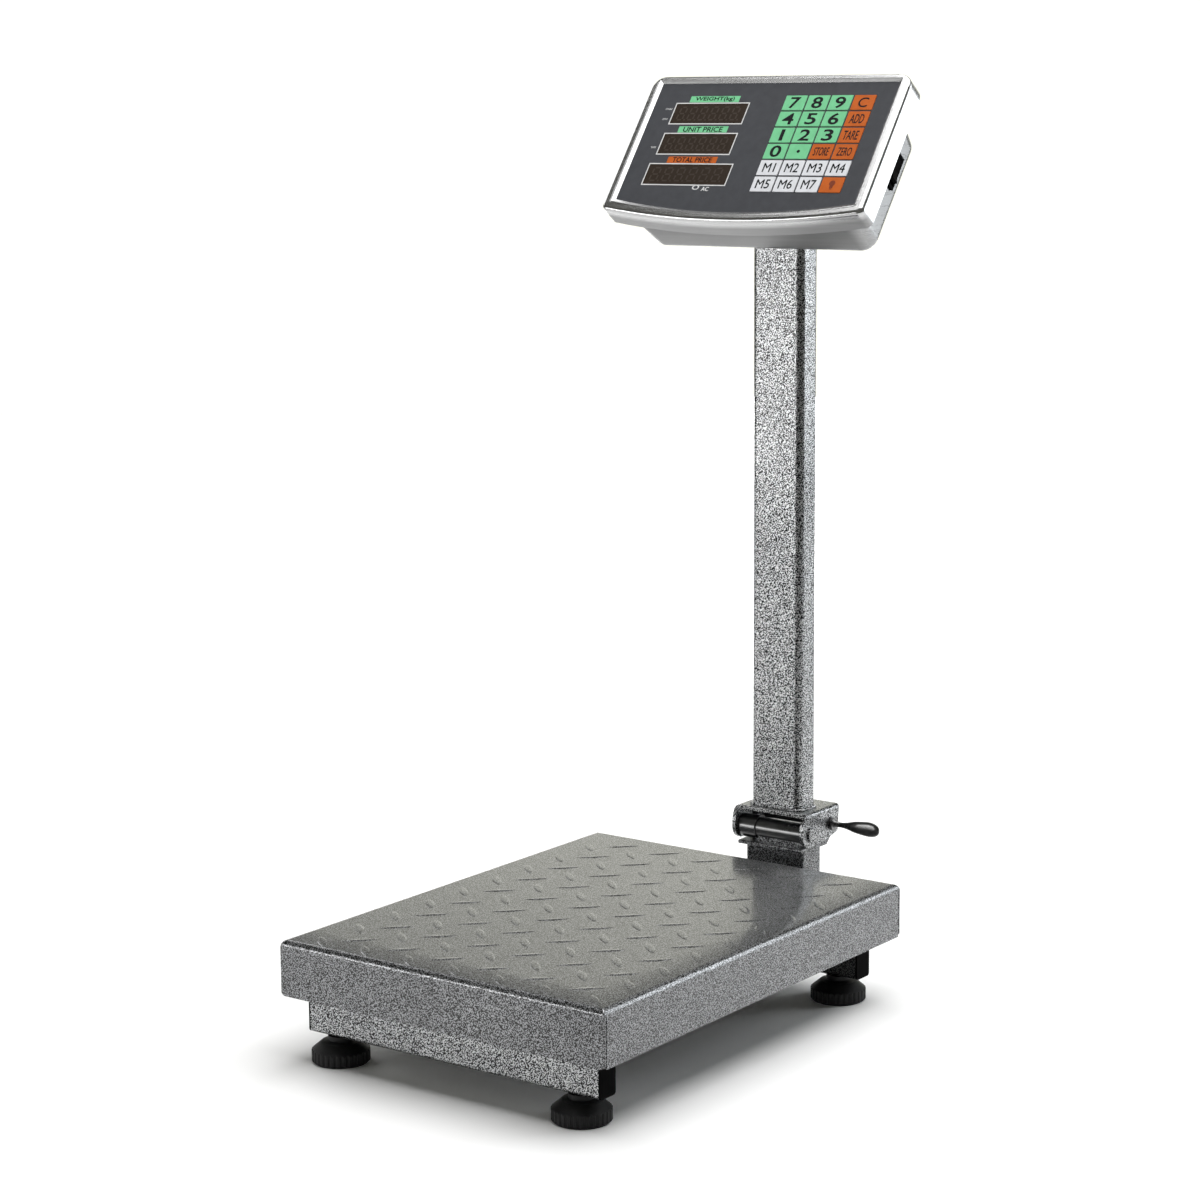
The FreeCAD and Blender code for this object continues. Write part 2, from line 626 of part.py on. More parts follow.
def front_shell():
    """Rim of the head, with a bevelled opening for the fascia."""
    shell = face_block(RIM_HALF, RIM_TOP, 0, RIM_BOW, 0, FLANGE_DEPTH, 13, 6)
    front = [edge for edge in shell.Edges if edge.BoundBox.ZMin > -0.01]
    shell = shell.makeFillet(3.6, front)
    inset = SHELL_SHEET
    cavity = face_block(RIM_HALF - inset, RIM_TOP - inset, inset, RIM_BOW, PANEL_RECESS,
                        FLANGE_DEPTH + 1, 11.5, 4.5)
    inner_front = [edge for edge in cavity.Edges if edge.BoundBox.ZMin > -PANEL_RECESS - 0.01]
    shell = shell.cut(cavity.makeFillet(2.4, inner_front))
    bevel = 3.5
    wide = face_wire(PANEL_HALF + bevel, PANEL_TOP + bevel, PANEL_CORNER - bevel, PANEL_BOW, 0.01)
    narrow = face_wire(PANEL_HALF, PANEL_TOP, PANEL_CORNER, PANEL_BOW, -PANEL_RECESS - 0.5)
    shell = shell.cut(Part.makeLoft([narrow, wide], True, True))
    shell = shell.cut(face_block(PANEL_HALF, PANEL_TOP, PANEL_CORNER, PANEL_BOW, 1, 6, 2, 2))
    ring = face_block(PANEL_HALF + GROOVE_OUT, PANEL_TOP + GROOVE_OUT,
                      PANEL_CORNER - GROOVE_OUT, PANEL_BOW, -0.5, 0.5, 3.5, 3.5)
    core = face_block(PANEL_HALF + GROOVE_IN, PANEL_TOP + GROOVE_IN,
                      PANEL_CORNER - GROOVE_IN, PANEL_BOW, -1, 1, 2.7, 2.7)
    shell = shell.cut(ring.cut(core))
    for u, v in boss_places():
        boss = rod_z(3.0, u, v, -(FLANGE_DEPTH - SHELL_SHEET), -PANEL_RECESS + 0.2)
        bore = rod_z(1.3, u, v, -FLANGE_DEPTH, -FLANGE_DEPTH + 11)
        shell = shell.fuse(boss).cut(bore)
    return shell.removeSplitter()


def rear_box(front, inset, corner, edge_radius):
    """Tapered box of the rear shell, shrunk by an inset."""
    def section(half, low, high, depth):
        block = box(-half + inset, half - inset, low + inset, high - inset, -depth, -depth + 1)
        block = block.makeFillet(corner, edges_along(block, Z_AXIS))
        bottom = [face for face in block.Faces if face.BoundBox.ZMax < -depth + 0.01][0]
        return bottom.OuterWire
    taper = Part.makeLoft([section(BOX_BACK_HALF, 4, 110, BOX_BACK - inset),
                           section(BOX_HALF, 1, 120, front)], True, True)
    back = [edge for edge in taper.Edges if edge.BoundBox.ZMax < -(BOX_BACK - inset) + 0.01]
    return taper.makeFillet(edge_radius, back)


def wall_place(shape, v, w, side):
    """Move a shape whose u points out of the wall to the right (1) or left (-1) wall."""
    slope = math.degrees(math.atan2(BOX_HALF - BOX_BACK_HALF, BOX_BACK - FLANGE_DEPTH))
    share = (w - FLANGE_DEPTH) / (BOX_BACK - FLANGE_DEPTH)
    wall_u = BOX_HALF - (BOX_HALF - BOX_BACK_HALF) * share
    placed = shape.copy()
    placed.rotate(V(0, 0, 0), Y_AXIS, slope)
    placed.translate(V(wall_u, v, -w))
    if side < 0:
        placed = placed.mirror(V(0, 0, 0), X_AXIS)
    return placed


def switch_place(shape):
    """Move a shape from the switch's own frame, u out of the wall, to the right wall."""
    return wall_place(shape, SWITCH_V, SWITCH_W, 1)


def inlet_place(shape):
    """Move a shape from the inlet's own frame, u out of the wall, to the left wall."""
    return wall_place(shape, INLET_V, INLET_W, -1)


def rear_shell():
    """Back of the head: a flange inside the rim and a tapered box behind it."""
    flange = face_block(RIM_HALF - SHELL_SHEET - 0.2, RIM_TOP - SHELL_SHEET - 0.2,
                        SHELL_SHEET + 0.2, RIM_BOW, FLANGE_DEPTH - SHELL_SHEET, FLANGE_DEPTH, 11, 4)
    shell = flange.fuse(rear_box(FLANGE_DEPTH - 0.01, 0, BOX_CORNER, BOX_EDGE))
    shell = shell.cut(rear_box(FLANGE_DEPTH - SHELL_SHEET - 0.2, SHELL_SHEET,
                               BOX_CORNER - SHELL_SHEET, BOX_EDGE - SHELL_SHEET))
    for u, v in boss_places():
        shell = shell.cut(rod_z(1.5, u, v, -FLANGE_DEPTH - 1, -FLANGE_DEPTH + SHELL_SHEET + 1))
    switch_hole = box(-4, 4, -SWITCH_LENGTH / 2 + 1.5, SWITCH_LENGTH / 2 - 1.5,
                      -SWITCH_WIDTH / 2 + 1.3, SWITCH_WIDTH / 2 - 1.3)
    inlet_hole = box(-4, 4, -INLET_LENGTH / 2 + 2.5, INLET_LENGTH / 2 - 2.5,
                     -INLET_WIDTH / 2 + 2.5, INLET_WIDTH / 2 - 2.5)
    return shell.cut(switch_place(switch_hole)).cut(inlet_place(inlet_hole))


def shell_screws():
    """Six pan head screws through the rear flange."""
    screws = []
    for u, v in boss_places():
        shank = rod_z(1.3, u, v, -FLANGE_DEPTH, -FLANGE_DEPTH + 10)
        head = rod_z(2.6, u, v, -FLANGE_DEPTH - 1.7, -FLANGE_DEPTH)
        rim = [edge for edge in head.Edges if edge.BoundBox.ZMax < -FLANGE_DEPTH - 1.6]
        head = head.makeFillet(0.8, rim)
        slot_a = box(u - 1.5, u + 1.5, v - 0.3, v + 0.3, -FLANGE_DEPTH - 2, -FLANGE_DEPTH - 0.9)
        slot_b = box(u - 0.3, u + 0.3, v - 1.5, v + 1.5, -FLANGE_DEPTH - 2, -FLANGE_DEPTH - 0.9)
        screws.append(shank.fuse(head).cut(slot_a.fuse(slot_b)))
    return Part.makeCompound(screws)


def key_centre(column, row):
    """(u, v) of a key's centre, column from the left and row from the top."""
    u = KEYPAD_U + (column - (KEY_COLUMNS - 1) / 2) * KEY_PITCH_U
    v = KEYPAD_V - (row - (KEY_ROWS - 1) / 2) * KEY_PITCH_V
    return u, v


def face_pad(u, v, width, height, n0, n1, corner):
    """Flat block on the face with round corners."""
    pad = box(u - width / 2, u + width / 2, v - height / 2, v + height / 2, n0, n1)
    return pad.makeFillet(corner, edges_along(pad, Z_AXIS))


def window_places():
    """(u, v, width) of the three display windows, top to bottom."""
    return [(u, WINDOW_TOP_V - i * WINDOW_PITCH, width) for i, (u, width) in enumerate(WINDOW_SIZES)]


def fascia_panel():
    """Panel behind the rim, with a well for each key and an opening for each display."""
    overlap = 1.3
    back = PANEL_RECESS + FASCIA_THICKNESS
    panel = face_block(PANEL_HALF + overlap, PANEL_TOP + overlap, PANEL_CORNER - overlap,
                       PANEL_BOW, PANEL_RECESS, back, 3, 3)
    wells = []
    for row in range(KEY_ROWS):
        for column in range(KEY_COLUMNS):
            u, v = key_centre(column, row)
            width = KEY_PITCH_U - KEY_GAP + 2 * KEY_WELL_GAP
            height = KEY_PITCH_V - KEY_GAP + 2 * KEY_WELL_GAP
            wells.append(face_pad(u, v, width, height, -PANEL_RECESS - KEY_WELL, 0, 0.6))
    panel = panel.cut(Part.makeCompound(wells))
    for u, v, width in window_places():
        seat = face_pad(u, v, width, WINDOW_HEIGHT, -PANEL_RECESS - WINDOW_THICKNESS, 0, 0.6)
        opening = face_pad(u, v, width - 4, WINDOW_HEIGHT - 4, -back - 1, 0, 0.6)
        panel = panel.cut(seat.fuse(opening))
    return panel


def keypad_key(column, row):
    """One raised key, free to be pressed down into its well."""
    u, v = key_centre(column, row)
    top = -PANEL_RECESS + KEY_PROUD
    key = face_pad(u, v, KEY_PITCH_U - KEY_GAP, KEY_PITCH_V - KEY_GAP, top - KEY_THICKNESS, top, 0.5)
    upper = [edge for edge in key.Edges if edge.BoundBox.ZMin > top - 0.01]
    return key.makeFillet(0.2, upper)


def display_windows():
    """Three tinted windows set flush in the fascia."""
    panes = []
    for u, v, width in window_places():
        panes.append(face_pad(u, v, width, WINDOW_HEIGHT, -PANEL_RECESS - WINDOW_THICKNESS,
                              -PANEL_RECESS, 0.6))
    return Part.makeCompound(panes)


def led_displays():
    """Digit modules behind the windows, soldered to the board."""
    modules = []
    for u, v, width in window_places():
        modules.append(box(u - width / 2 + 2.5, u + width / 2 - 2.5, v - WINDOW_HEIGHT / 2 + 2.5,
                           v + WINDOW_HEIGHT / 2 - 2.5, -14.0, -PANEL_RECESS - WINDOW_THICKNESS))
    return Part.makeCompound(modules)


def main_board():
    """Circuit board with a processor, a power block and a connector."""
    board = box(-100, 100, 18, 112, -15.6, -14.0)
    chip = box(20, 38, 60, 78, -17.6, -15.6)
    power = box(62, 80, 28, 44, -26, -15.6)
    socket = box(-80, -58, 22, 30, -24, -15.6)
    return board.fuse([chip, power, socket])


def battery():
    """Sealed rechargeable battery held on the inside of the back wall."""
    back = -(BOX_BACK - SHELL_SHEET)
    block = box(-48.5, 48.5, 16, 82, back, back + 33)
    block = block.makeFillet(1.5, edges_along(block, Z_AXIS))
    tab_a = box(-40, -34, 22, 28, back + 33, back + 36)
    tab_b = box(34, 40, 22, 28, back + 33, back + 36)
    return block.fuse([tab_a, tab_b])


def switch_bezel():
    """Frame and body of the power switch, snapped into the shell's right wall."""
    half_l, half_w = SWITCH_LENGTH / 2, SWITCH_WIDTH / 2
    lip = box(0, 1.8, -half_l, half_l, -half_w, half_w)
    lip = lip.makeFillet(1.0, edges_along(lip, X_AXIS))
    body = box(-19, 0, -half_l + 1.6, half_l - 1.6, -half_w + 1.4, half_w - 1.4)
    pocket = box(-15, 3, -half_l + 2.6, half_l - 2.6, -half_w + 2.2, half_w - 2.2)
    return switch_place(lip.fuse(body).cut(pocket))


def power_inlet():
    """Figure-eight mains inlet with two pins, snapped into the shell's left wall."""
    half_l, half_w = INLET_LENGTH / 2, INLET_WIDTH / 2
    lip = box(0, 1.6, -half_l, half_l, -half_w, half_w)
    lip = lip.makeFillet(2.5, edges_along(lip, X_AXIS))
    body = box(-18, 0, -half_l + 2.6, half_l - 2.6, -half_w + 2.6, half_w - 2.6)
    inlet = lip.fuse(body)
    for side in (-1, 1):
        well = Part.makeCylinder(4.4, 16, V(-13, side * 4.2, 0), X_AXIS)
        inlet = inlet.cut(well)
    for side in (-1, 1):
        pin = Part.makeCylinder(1.2, 10, V(-13.5, side * 4.2, 0), X_AXIS)
        inlet = inlet.fuse(pin)
    return inlet_place(inlet)


def switch_rocker():
    """Rocker of the power switch, tipped to its off side."""
    half_w = SWITCH_WIDTH / 2 - 2.6
    reach = SWITCH_LENGTH / 2 - 3.7
    centre_u = -9.0
    outline = [V(1.2, -reach, 0), V(3.4, -reach * 0.93, 0), V(1.9, 0, 0), V(3.4, reach * 0.93, 0),
               V(1.2, reach, 0), V(-6, reach * 0.6, 0), V(-11, 0, 0), V(-6, -reach * 0.6, 0)]
    face = Part.Face(Part.makePolygon(outline + [outline[0]]))
    rocker = face.extrude(Z_AXIS * 2 * half_w)
    rocker.translate(Z_AXIS * -half_w)
    rocker.rotate(V(centre_u + 5, 0, 0), Z_AXIS, ROCKER_TILT)
    return switch_place(rocker)


def head_tilt_bracket():
    """Bracket on the back of the head whose ears straddle the mast's lug."""
    v, n = head_frame_point(TILT_Y, TILT_Z)
    plate = box(-30, 30, v - 19, v + 19, -BOX_BACK - 3, -BOX_BACK)
    plate = plate.makeFillet(4, edges_along(plate, Z_AXIS))
    bracket = plate
    for side in (-1, 1):
        x0, x1 = sorted((side * 8.5, side * 12.0))
        ear = box(x0, x1, v - TILT_LUG, v + TILT_LUG, n, -BOX_BACK - 3)
        bracket = bracket.fuse([ear, Part.makeCylinder(TILT_LUG, x1 - x0, V(x0, v, n), X_AXIS)])
    bore = Part.makeCylinder(TILT_BOLT_RADIUS + RUNNING_GAP, 40, V(-20, v, n), X_AXIS)
    return bracket.cut(bore).removeSplitter()


def tilt_knob():
    """Bolt through the bracket and the lug, with a lobed knob on its right end."""
    bolt = rod_x(TILT_BOLT_RADIUS, -17, 14, TILT_Y, TILT_Z)
    head = rod_x(5.5, -16.5, -12.3, TILT_Y, TILT_Z)
    grip = rod_x(11.0, 15.0, 25.0, TILT_Y, TILT_Z)
    grip = grip.makeFillet(1.5, [edge for edge in grip.Edges if edge.BoundBox.XLength < 0.01])
    for i in range(8):
        angle = 2 * math.pi * i / 8
        y = TILT_Y + 13.0 * math.cos(angle)
        z = TILT_Z + 13.0 * math.sin(angle)
        grip = grip.cut(rod_x(3.2, 14, 26, y, z))
    boss = rod_x(6.0, 12.3, 15.0, TILT_Y, TILT_Z)
    return bolt.fuse([head, boss, grip])


def save(name, shape):
    """Move a finished piece to the shared origin and write it."""
    placed = shape.copy()
    placed.translate(ORIGIN_SHIFT)
    placed.exportStep("parts/" + name + ".step")


def build():
    """Make every piece and write one file for each."""
    os.makedirs("parts", exist_ok=True)
    pieces = {
        "front_cross_tube": cross_tube(FRONT_TUBE_Y),
        "rear_cross_tube": cross_tube(REAR_TUBE_Y),
        "tube_end_caps": end_caps(),
        "base_channel": base_channel(),
        "rear_arm": rear_arm(),
        "mast_post": mast_post(),
        "load_cell": load_cell(),
        "load_cell_spacers": load_cell_spacers(),
        "load_cell_bolts": load_cell_bolts(),
        "spider_frame": spider_frame(),
        "tray_rest_pads": tray_rest_pads(),
        "weighing_tray": weighing_tray(),
        "foot_front_left": levelling_foot(-FOOT_X, FRONT_TUBE_Y),
        "foot_front_right": levelling_foot(FOOT_X, FRONT_TUBE_Y),
        "foot_rear_left": levelling_foot(-FOOT_X, REAR_TUBE_Y),
        "foot_rear_right": levelling_foot(FOOT_X, REAR_TUBE_Y),
        "lower_hinge_bracket": lower_hinge_bracket(),
        "hinge_barrel": hinge_barrel(),
        "hinge_pin": hinge_pin(),
        "upper_hinge_bracket": upper_hinge_bracket(),
        "clamp_lever": clamp_lever(),
        "column_tube": column_tube(),
        "column_yoke": column_yoke(),
        "head_tilt_bracket": on_head(head_tilt_bracket()),
        "tilt_knob": tilt_knob(),
        "front_shell": on_head(front_shell()),
        "rear_shell": on_head(rear_shell()),
        "shell_screws": on_head(shell_screws()),
        "fascia_panel": on_head(fascia_panel()),
        "display_windows": on_head(display_windows()),
        "led_displays": on_head(led_displays()),
        "main_board": on_head(main_board()),
        "battery": on_head(battery()),
        "switch_bezel": on_head(switch_bezel()),
        "switch_rocker": on_head(switch_rocker()),
        "power_inlet": on_head(power_inlet()),
    }
    for row, names in enumerate(KEY_NAMES):
        for column, name in enumerate(names):
            pieces["key_" + name] = on_head(keypad_key(column, row))
    for name, shape in pieces.items():
        save(name, shape)


build()
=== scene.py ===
"""Looks of the platform shipping scale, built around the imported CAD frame. Metres, Z up."""
import json
import math
import random

import bmesh
import bpy
from mathutils import Matrix, Vector


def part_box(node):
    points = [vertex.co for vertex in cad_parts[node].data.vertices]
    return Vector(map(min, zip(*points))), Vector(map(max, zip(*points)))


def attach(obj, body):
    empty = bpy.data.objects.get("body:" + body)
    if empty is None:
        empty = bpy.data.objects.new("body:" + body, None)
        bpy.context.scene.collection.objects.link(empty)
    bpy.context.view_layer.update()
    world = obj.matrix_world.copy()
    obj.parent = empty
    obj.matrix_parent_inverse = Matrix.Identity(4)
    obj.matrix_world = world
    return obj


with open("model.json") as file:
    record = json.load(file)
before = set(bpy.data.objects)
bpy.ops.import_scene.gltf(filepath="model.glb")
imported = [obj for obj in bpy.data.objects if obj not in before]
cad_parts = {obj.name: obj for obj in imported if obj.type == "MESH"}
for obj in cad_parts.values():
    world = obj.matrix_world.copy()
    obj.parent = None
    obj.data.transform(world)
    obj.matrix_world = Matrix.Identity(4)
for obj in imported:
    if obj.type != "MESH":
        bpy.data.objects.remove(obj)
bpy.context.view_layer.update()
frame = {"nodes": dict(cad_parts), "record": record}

MM = 0.001
X = Vector((1, 0, 0))
Z = Vector((0, 0, 1))


# ---------------------------------------------------------------- frame helpers

def joint(name):
    """The record's joint of that name."""
    for entry in frame["record"]["behaviour"]["joints"]:
        if entry["name"] == name:
            return entry
    raise KeyError(name)


def extent(node, origin, axes):
    """Lowest and highest (u, v, n) of a CAD node's points along three axes."""
    low = [1e9] * 3
    high = [-1e9] * 3
    for vertex in frame["nodes"][node].data.vertices:
        for i, axis in enumerate(axes):
            along = (vertex.co - origin).dot(axis)
            low[i] = min(low[i], along)
            high[i] = max(high[i], along)
    return low, high


def middle(box):
    """Centre of a (low, high) pair of corners."""
    return [(a + b) / 2 for a, b in zip(box[0], box[1])]


OUT = -Vector(joint("key_5_press")["axis"]).normalized()
UP = OUT.cross(X).normalized()
FACE_AXES = (X, UP, OUT)
fascia_low, fascia_high = extent("fascia_panel", Vector((0, 0, 0)), FACE_AXES)
FACE_ORIGIN = UP * fascia_low[1] + OUT * fascia_high[2]


def face_matrix(u, v, lift):
    """Placement on the fascia: u across, v up from its lowest edge, lift out of it."""
    place = FACE_ORIGIN + X * u + UP * v + OUT * lift
    turn = Matrix((X, UP, OUT)).transposed().to_4x4()
    return Matrix.Translation(place) @ turn


# ---------------------------------------------------------------- materials

def new_material(name):
    """Material with one principled shader, its nodes and links."""
    material = bpy.data.materials.new(name)
    material.use_nodes = True
    nodes = material.node_tree.nodes
    return material, nodes, material.node_tree.links, nodes["Principled BSDF"]


def noise(nodes, links, source, scale, detail=2.0, rough=0.5):
    """Noise texture in object space."""
    texture = nodes.new("ShaderNodeTexNoise")
    texture.inputs["Scale"].default_value = scale
    texture.inputs["Detail"].default_value = detail
    texture.inputs["Roughness"].default_value = rough
    links.new(source, texture.inputs["Vector"])
    return texture


def ramp(nodes, links, source, stops):
    """Colour ramp from a factor, stops as (place, colour)."""
    node = nodes.new("ShaderNodeValToRGB")
    elements = node.color_ramp.elements
    while len(elements) < len(stops):
        elements.new(0.5)
    for element, (place, colour) in zip(elements, stops):
        element.position = place
        element.color = (*colour, 1)
    links.new(source, node.inputs["Fac"])
    return node.outputs["Color"]


def mix(nodes, links, factor, a, b, mode="MIX"):
    """Colour mix; each input is a socket or a plain colour or number."""
    node = nodes.new("ShaderNodeMix")
    node.data_type = "RGBA"
    node.blend_type = mode
    for socket, value in ((node.inputs[0], factor), (node.inputs[6], a), (node.inputs[7], b)):
        if isinstance(value, bpy.types.NodeSocket):
            links.new(value, socket)
        elif isinstance(value, (int, float)):
            socket.default_value = value
        else:
            socket.default_value = (*value, 1)
    return node.outputs[2]


def maths(nodes, links, operation, *values):
    """Math node on sockets and plain numbers."""
    node = nodes.new("ShaderNodeMath")
    node.operation = operation
    for socket, value in zip(node.inputs, values):
        if isinstance(value, bpy.types.NodeSocket):
            links.new(value, socket)
        else:
            socket.default_value = value
    return node.outputs[0]


def span(nodes, links, source, low, high):
    """A 0 to 1 value mapped to low to high."""
    node = nodes.new("ShaderNodeMapRange")
    node.inputs["To Min"].default_value = low
    node.inputs["To Max"].default_value = high
    links.new(source, node.inputs["Value"])
    return node.outputs["Result"]


def bump(nodes, links, height, strength, distance, under=None):
    """Bump from a height socket."""
    node = nodes.new("ShaderNodeBump")
    node.inputs["Strength"].default_value = strength
    node.inputs["Distance"].default_value = distance
    links.new(height, node.inputs["Height"])
    if under is not None:
        links.new(under, node.inputs["Normal"])
    return node.outputs["Normal"]


def stretched(nodes, links, source, scale, turn=(0, 0, 0)):
    """Object coordinates stretched by a scale on each axis, then turned."""
    node = nodes.new("ShaderNodeMapping")
    node.inputs["Scale"].default_value = scale
    node.inputs["Rotation"].default_value = turn
    links.new(source, node.inputs["Vector"])
    return node.outputs["Vector"]


FLECK_SCALE = 1120
CELL_SCALE = 1900
FLECK_MIDDLE = 0.53
FLECK_CONTRAST = 0.03


def hammered(name, dark, light, metal=0.82, coat=0.35, sheet=None):
    """Hammered enamel: dark and pale flecks under a millimetre wide in a pebbled skin.

    With a sheet's (low, high) box, its normals roll off towards the front and right edges.
    """
    material, nodes, links, shader = new_material(name)
    where = nodes.new("ShaderNodeTexCoord").outputs["Object"]
    turned = stretched(nodes, links, where, (1, 1, 1), (0.6, 0.45, 0.3))
    flecks = noise(nodes, links, turned, FLECK_SCALE, 0.0, 0.5)
    cells = noise(nodes, links, turned, CELL_SCALE, 1.0, 0.5)
    clouds = noise(nodes, links, where, 11, 3.0, 0.6)
    colour = ramp(nodes, links, flecks.outputs["Fac"],
                  [(FLECK_MIDDLE - FLECK_CONTRAST, dark), (FLECK_MIDDLE + FLECK_CONTRAST, light)])
    shade = ramp(nodes, links, clouds.outputs["Fac"], [(0.3, (0.84, 0.84, 0.85)), (0.7, (1.0, 1.0, 1.0))])
    links.new(mix(nodes, links, 1.0, colour, shade, "MULTIPLY"), shader.inputs["Base Color"])
    links.new(span(nodes, links, cells.outputs["Fac"], 0.22, 0.42), shader.inputs["Roughness"])
    shader.inputs["Metallic"].default_value = metal
    shader.inputs["Coat Weight"].default_value = coat
    shader.inputs["Coat Roughness"].default_value = 0.11
    under = None
    if sheet is not None:
        under = roll_off(nodes, links, where, sheet)
        links.new(bump(nodes, links, cells.outputs["Fac"], 0.12, 0.0001, under),
                  shader.inputs["Coat Normal"])
    fine = bump(nodes, links, flecks.outputs["Fac"], 0.6, 0.0003, under)
    links.new(bump(nodes, links, cells.outputs["Fac"], 0.2, 0.0002, fine), shader.inputs["Normal"])
    return material


ROLL_REACH = 34 * MM
ROLL_DROP = 2.1 * MM


def roll_off(nodes, links, where, sheet):
    """Normal of a flat sheet that dips towards its front and right edges, in shading only."""
    offset = nodes.new("ShaderNodeVectorMath")
    offset.operation = "SUBTRACT"
    offset.inputs[1].default_value = [(low + high) / 2 for low, high in zip(*sheet)]
    links.new(where, offset.inputs[0])
    split = nodes.new("ShaderNodeSeparateXYZ")
    links.new(offset.outputs["Vector"], split.inputs[0])
    dips = []
    for i, side in enumerate((1, -1)):
        half = (sheet[1][i] - sheet[0][i]) / 2
        distance = maths(nodes, links, "MULTIPLY", split.outputs[i], side)
        share = nodes.new("ShaderNodeMapRange")
        share.inputs["From Min"].default_value = half - ROLL_REACH
        share.inputs["From Max"].default_value = half
        links.new(distance, share.inputs["Value"])
        dips.append(maths(nodes, links, "POWER", share.outputs["Result"], 2))
    node = nodes.new("ShaderNodeBump")
    node.invert = True
    node.inputs["Strength"].default_value = 1.0
    node.inputs["Distance"].default_value = ROLL_DROP
    links.new(maths(nodes, links, "MAXIMUM", *dips), node.inputs["Height"])
    return node.outputs["Normal"]


def enamel_black(name, roughness=0.26, tint=(0.012, 0.012, 0.013)):
    """Black enamel with a faint orange peel and rubbed patches."""
    material, nodes, links, shader = new_material(name)
    where = nodes.new("ShaderNodeTexCoord").outputs["Object"]
    peel = noise(nodes, links, where, 420, 2.0, 0.5)
    wear = noise(nodes, links, where, 40, 4.0, 0.65)
    paler = tuple(c * 2.6 + 0.01 for c in tint)
    links.new(ramp(nodes, links, wear.outputs["Fac"], [(0.45, tint), (0.75, paler)]),
              shader.inputs["Base Color"])
    links.new(span(nodes, links, wear.outputs["Fac"], roughness - 0.08, roughness + 0.18),
              shader.inputs["Roughness"])
    shader.inputs["Specular IOR Level"].default_value = 0.8
    shader.inputs["Coat Weight"].default_value = 1.0
    shader.inputs["Coat Roughness"].default_value = 0.09
    links.new(bump(nodes, links, peel.outputs["Fac"], 0.2, 0.0003), shader.inputs["Normal"])
    return material


def moulded(name, colour, roughness=0.5, grain=1500, strength=0.25, gloss=0.15):
    """Moulded plastic or rubber with a fine spark grain."""
    material, nodes, links, shader = new_material(name)
    where = nodes.new("ShaderNodeTexCoord").outputs["Object"]
    fine = noise(nodes, links, where, grain, 2.0, 0.5)
    broad = noise(nodes, links, where, 30, 3.0, 0.6)
    paler = tuple(min(1, c * 1.35 + 0.002) for c in colour)
    shader.inputs["Specular IOR Level"].default_value = gloss
    links.new(ramp(nodes, links, broad.outputs["Fac"], [(0.35, colour), (0.75, paler)]),
              shader.inputs["Base Color"])
    links.new(span(nodes, links, fine.outputs["Fac"], roughness - 0.1, roughness + 0.12),
              shader.inputs["Roughness"])
    links.new(bump(nodes, links, fine.outputs["Fac"], strength, 0.0002), shader.inputs["Normal"])
    return material


MASK_FADE = 6 * MM
# Painted shade: the tint that darkens brushed steel inside its masked zone.
PAINTED_SHADE_TINT = (0.58, 0.58, 0.58)
SATIN_ROUGHER = 0.2


def below(nodes, links, where, axis, level):
    """Factor that is 1 under a level along an axis and fades to 0 just above it."""
    along = nodes.new("ShaderNodeVectorMath")
    along.operation = "DOT_PRODUCT"
    along.inputs[1].default_value = axis
    links.new(where, along.inputs[0])
    step = nodes.new("ShaderNodeMapRange")
    step.inputs["From Min"].default_value = level
    step.inputs["From Max"].default_value = level + MASK_FADE
    step.inputs["To Min"].default_value = 1.0
    step.inputs["To Max"].default_value = 0.0
    links.new(along.outputs["Value"], step.inputs["Value"])
    return step.outputs["Result"]


def brushed(name, colour, roughness=0.27, stretch=(6, 900, 900), strength=0.12, shade_and_rough_levels=None):
    """Brushed sheet metal, with painted shade (a darker colour) and a rougher skin below both (axis,
    level) pairs of shade_and_rough_levels.
    """
    material, nodes, links, shader = new_material(name)
    where = nodes.new("ShaderNodeTexCoord").outputs["Object"]
    grain = noise(nodes, links, stretched(nodes, links, where, stretch), 1.0, 3.0, 0.6)
    smears = noise(nodes, links, where, 22, 3.0, 0.6)
    darker = tuple(c * 0.84 for c in colour)
    streaks = ramp(nodes, links, grain.outputs["Fac"], [(0.3, darker), (0.7, colour)])
    shade = ramp(nodes, links, smears.outputs["Fac"], [(0.3, (0.93, 0.93, 0.94)), (0.7, (1, 1, 1))])
    tone = mix(nodes, links, 1.0, streaks, shade, "MULTIPLY")
    skin = span(nodes, links, grain.outputs["Fac"], roughness - 0.06, roughness + 0.1)
    if shade_and_rough_levels is not None:
        masks = [below(nodes, links, where, axis, level) for axis, level in shade_and_rough_levels]
        shade_and_rough_mask = maths(nodes, links, "MULTIPLY", *masks)
        # Painted shade: below both levels the steel's colour is darkened, and the same mask makes its
        # skin rougher.
        shaded_tone = mix(nodes, links, 1.0, tone, PAINTED_SHADE_TINT, "MULTIPLY")
        tone = mix(nodes, links, shade_and_rough_mask, tone, shaded_tone)
        skin = maths(nodes, links, "MULTIPLY_ADD", shade_and_rough_mask, SATIN_ROUGHER, skin)
    links.new(tone, shader.inputs["Base Color"])
    links.new(skin, shader.inputs["Roughness"])
    shader.inputs["Metallic"].default_value = 1.0
    shader.inputs["Anisotropic"].default_value = 0.3
    links.new(bump(nodes, links, grain.outputs["Fac"], strength, 0.0001), shader.inputs["Normal"])
    return material


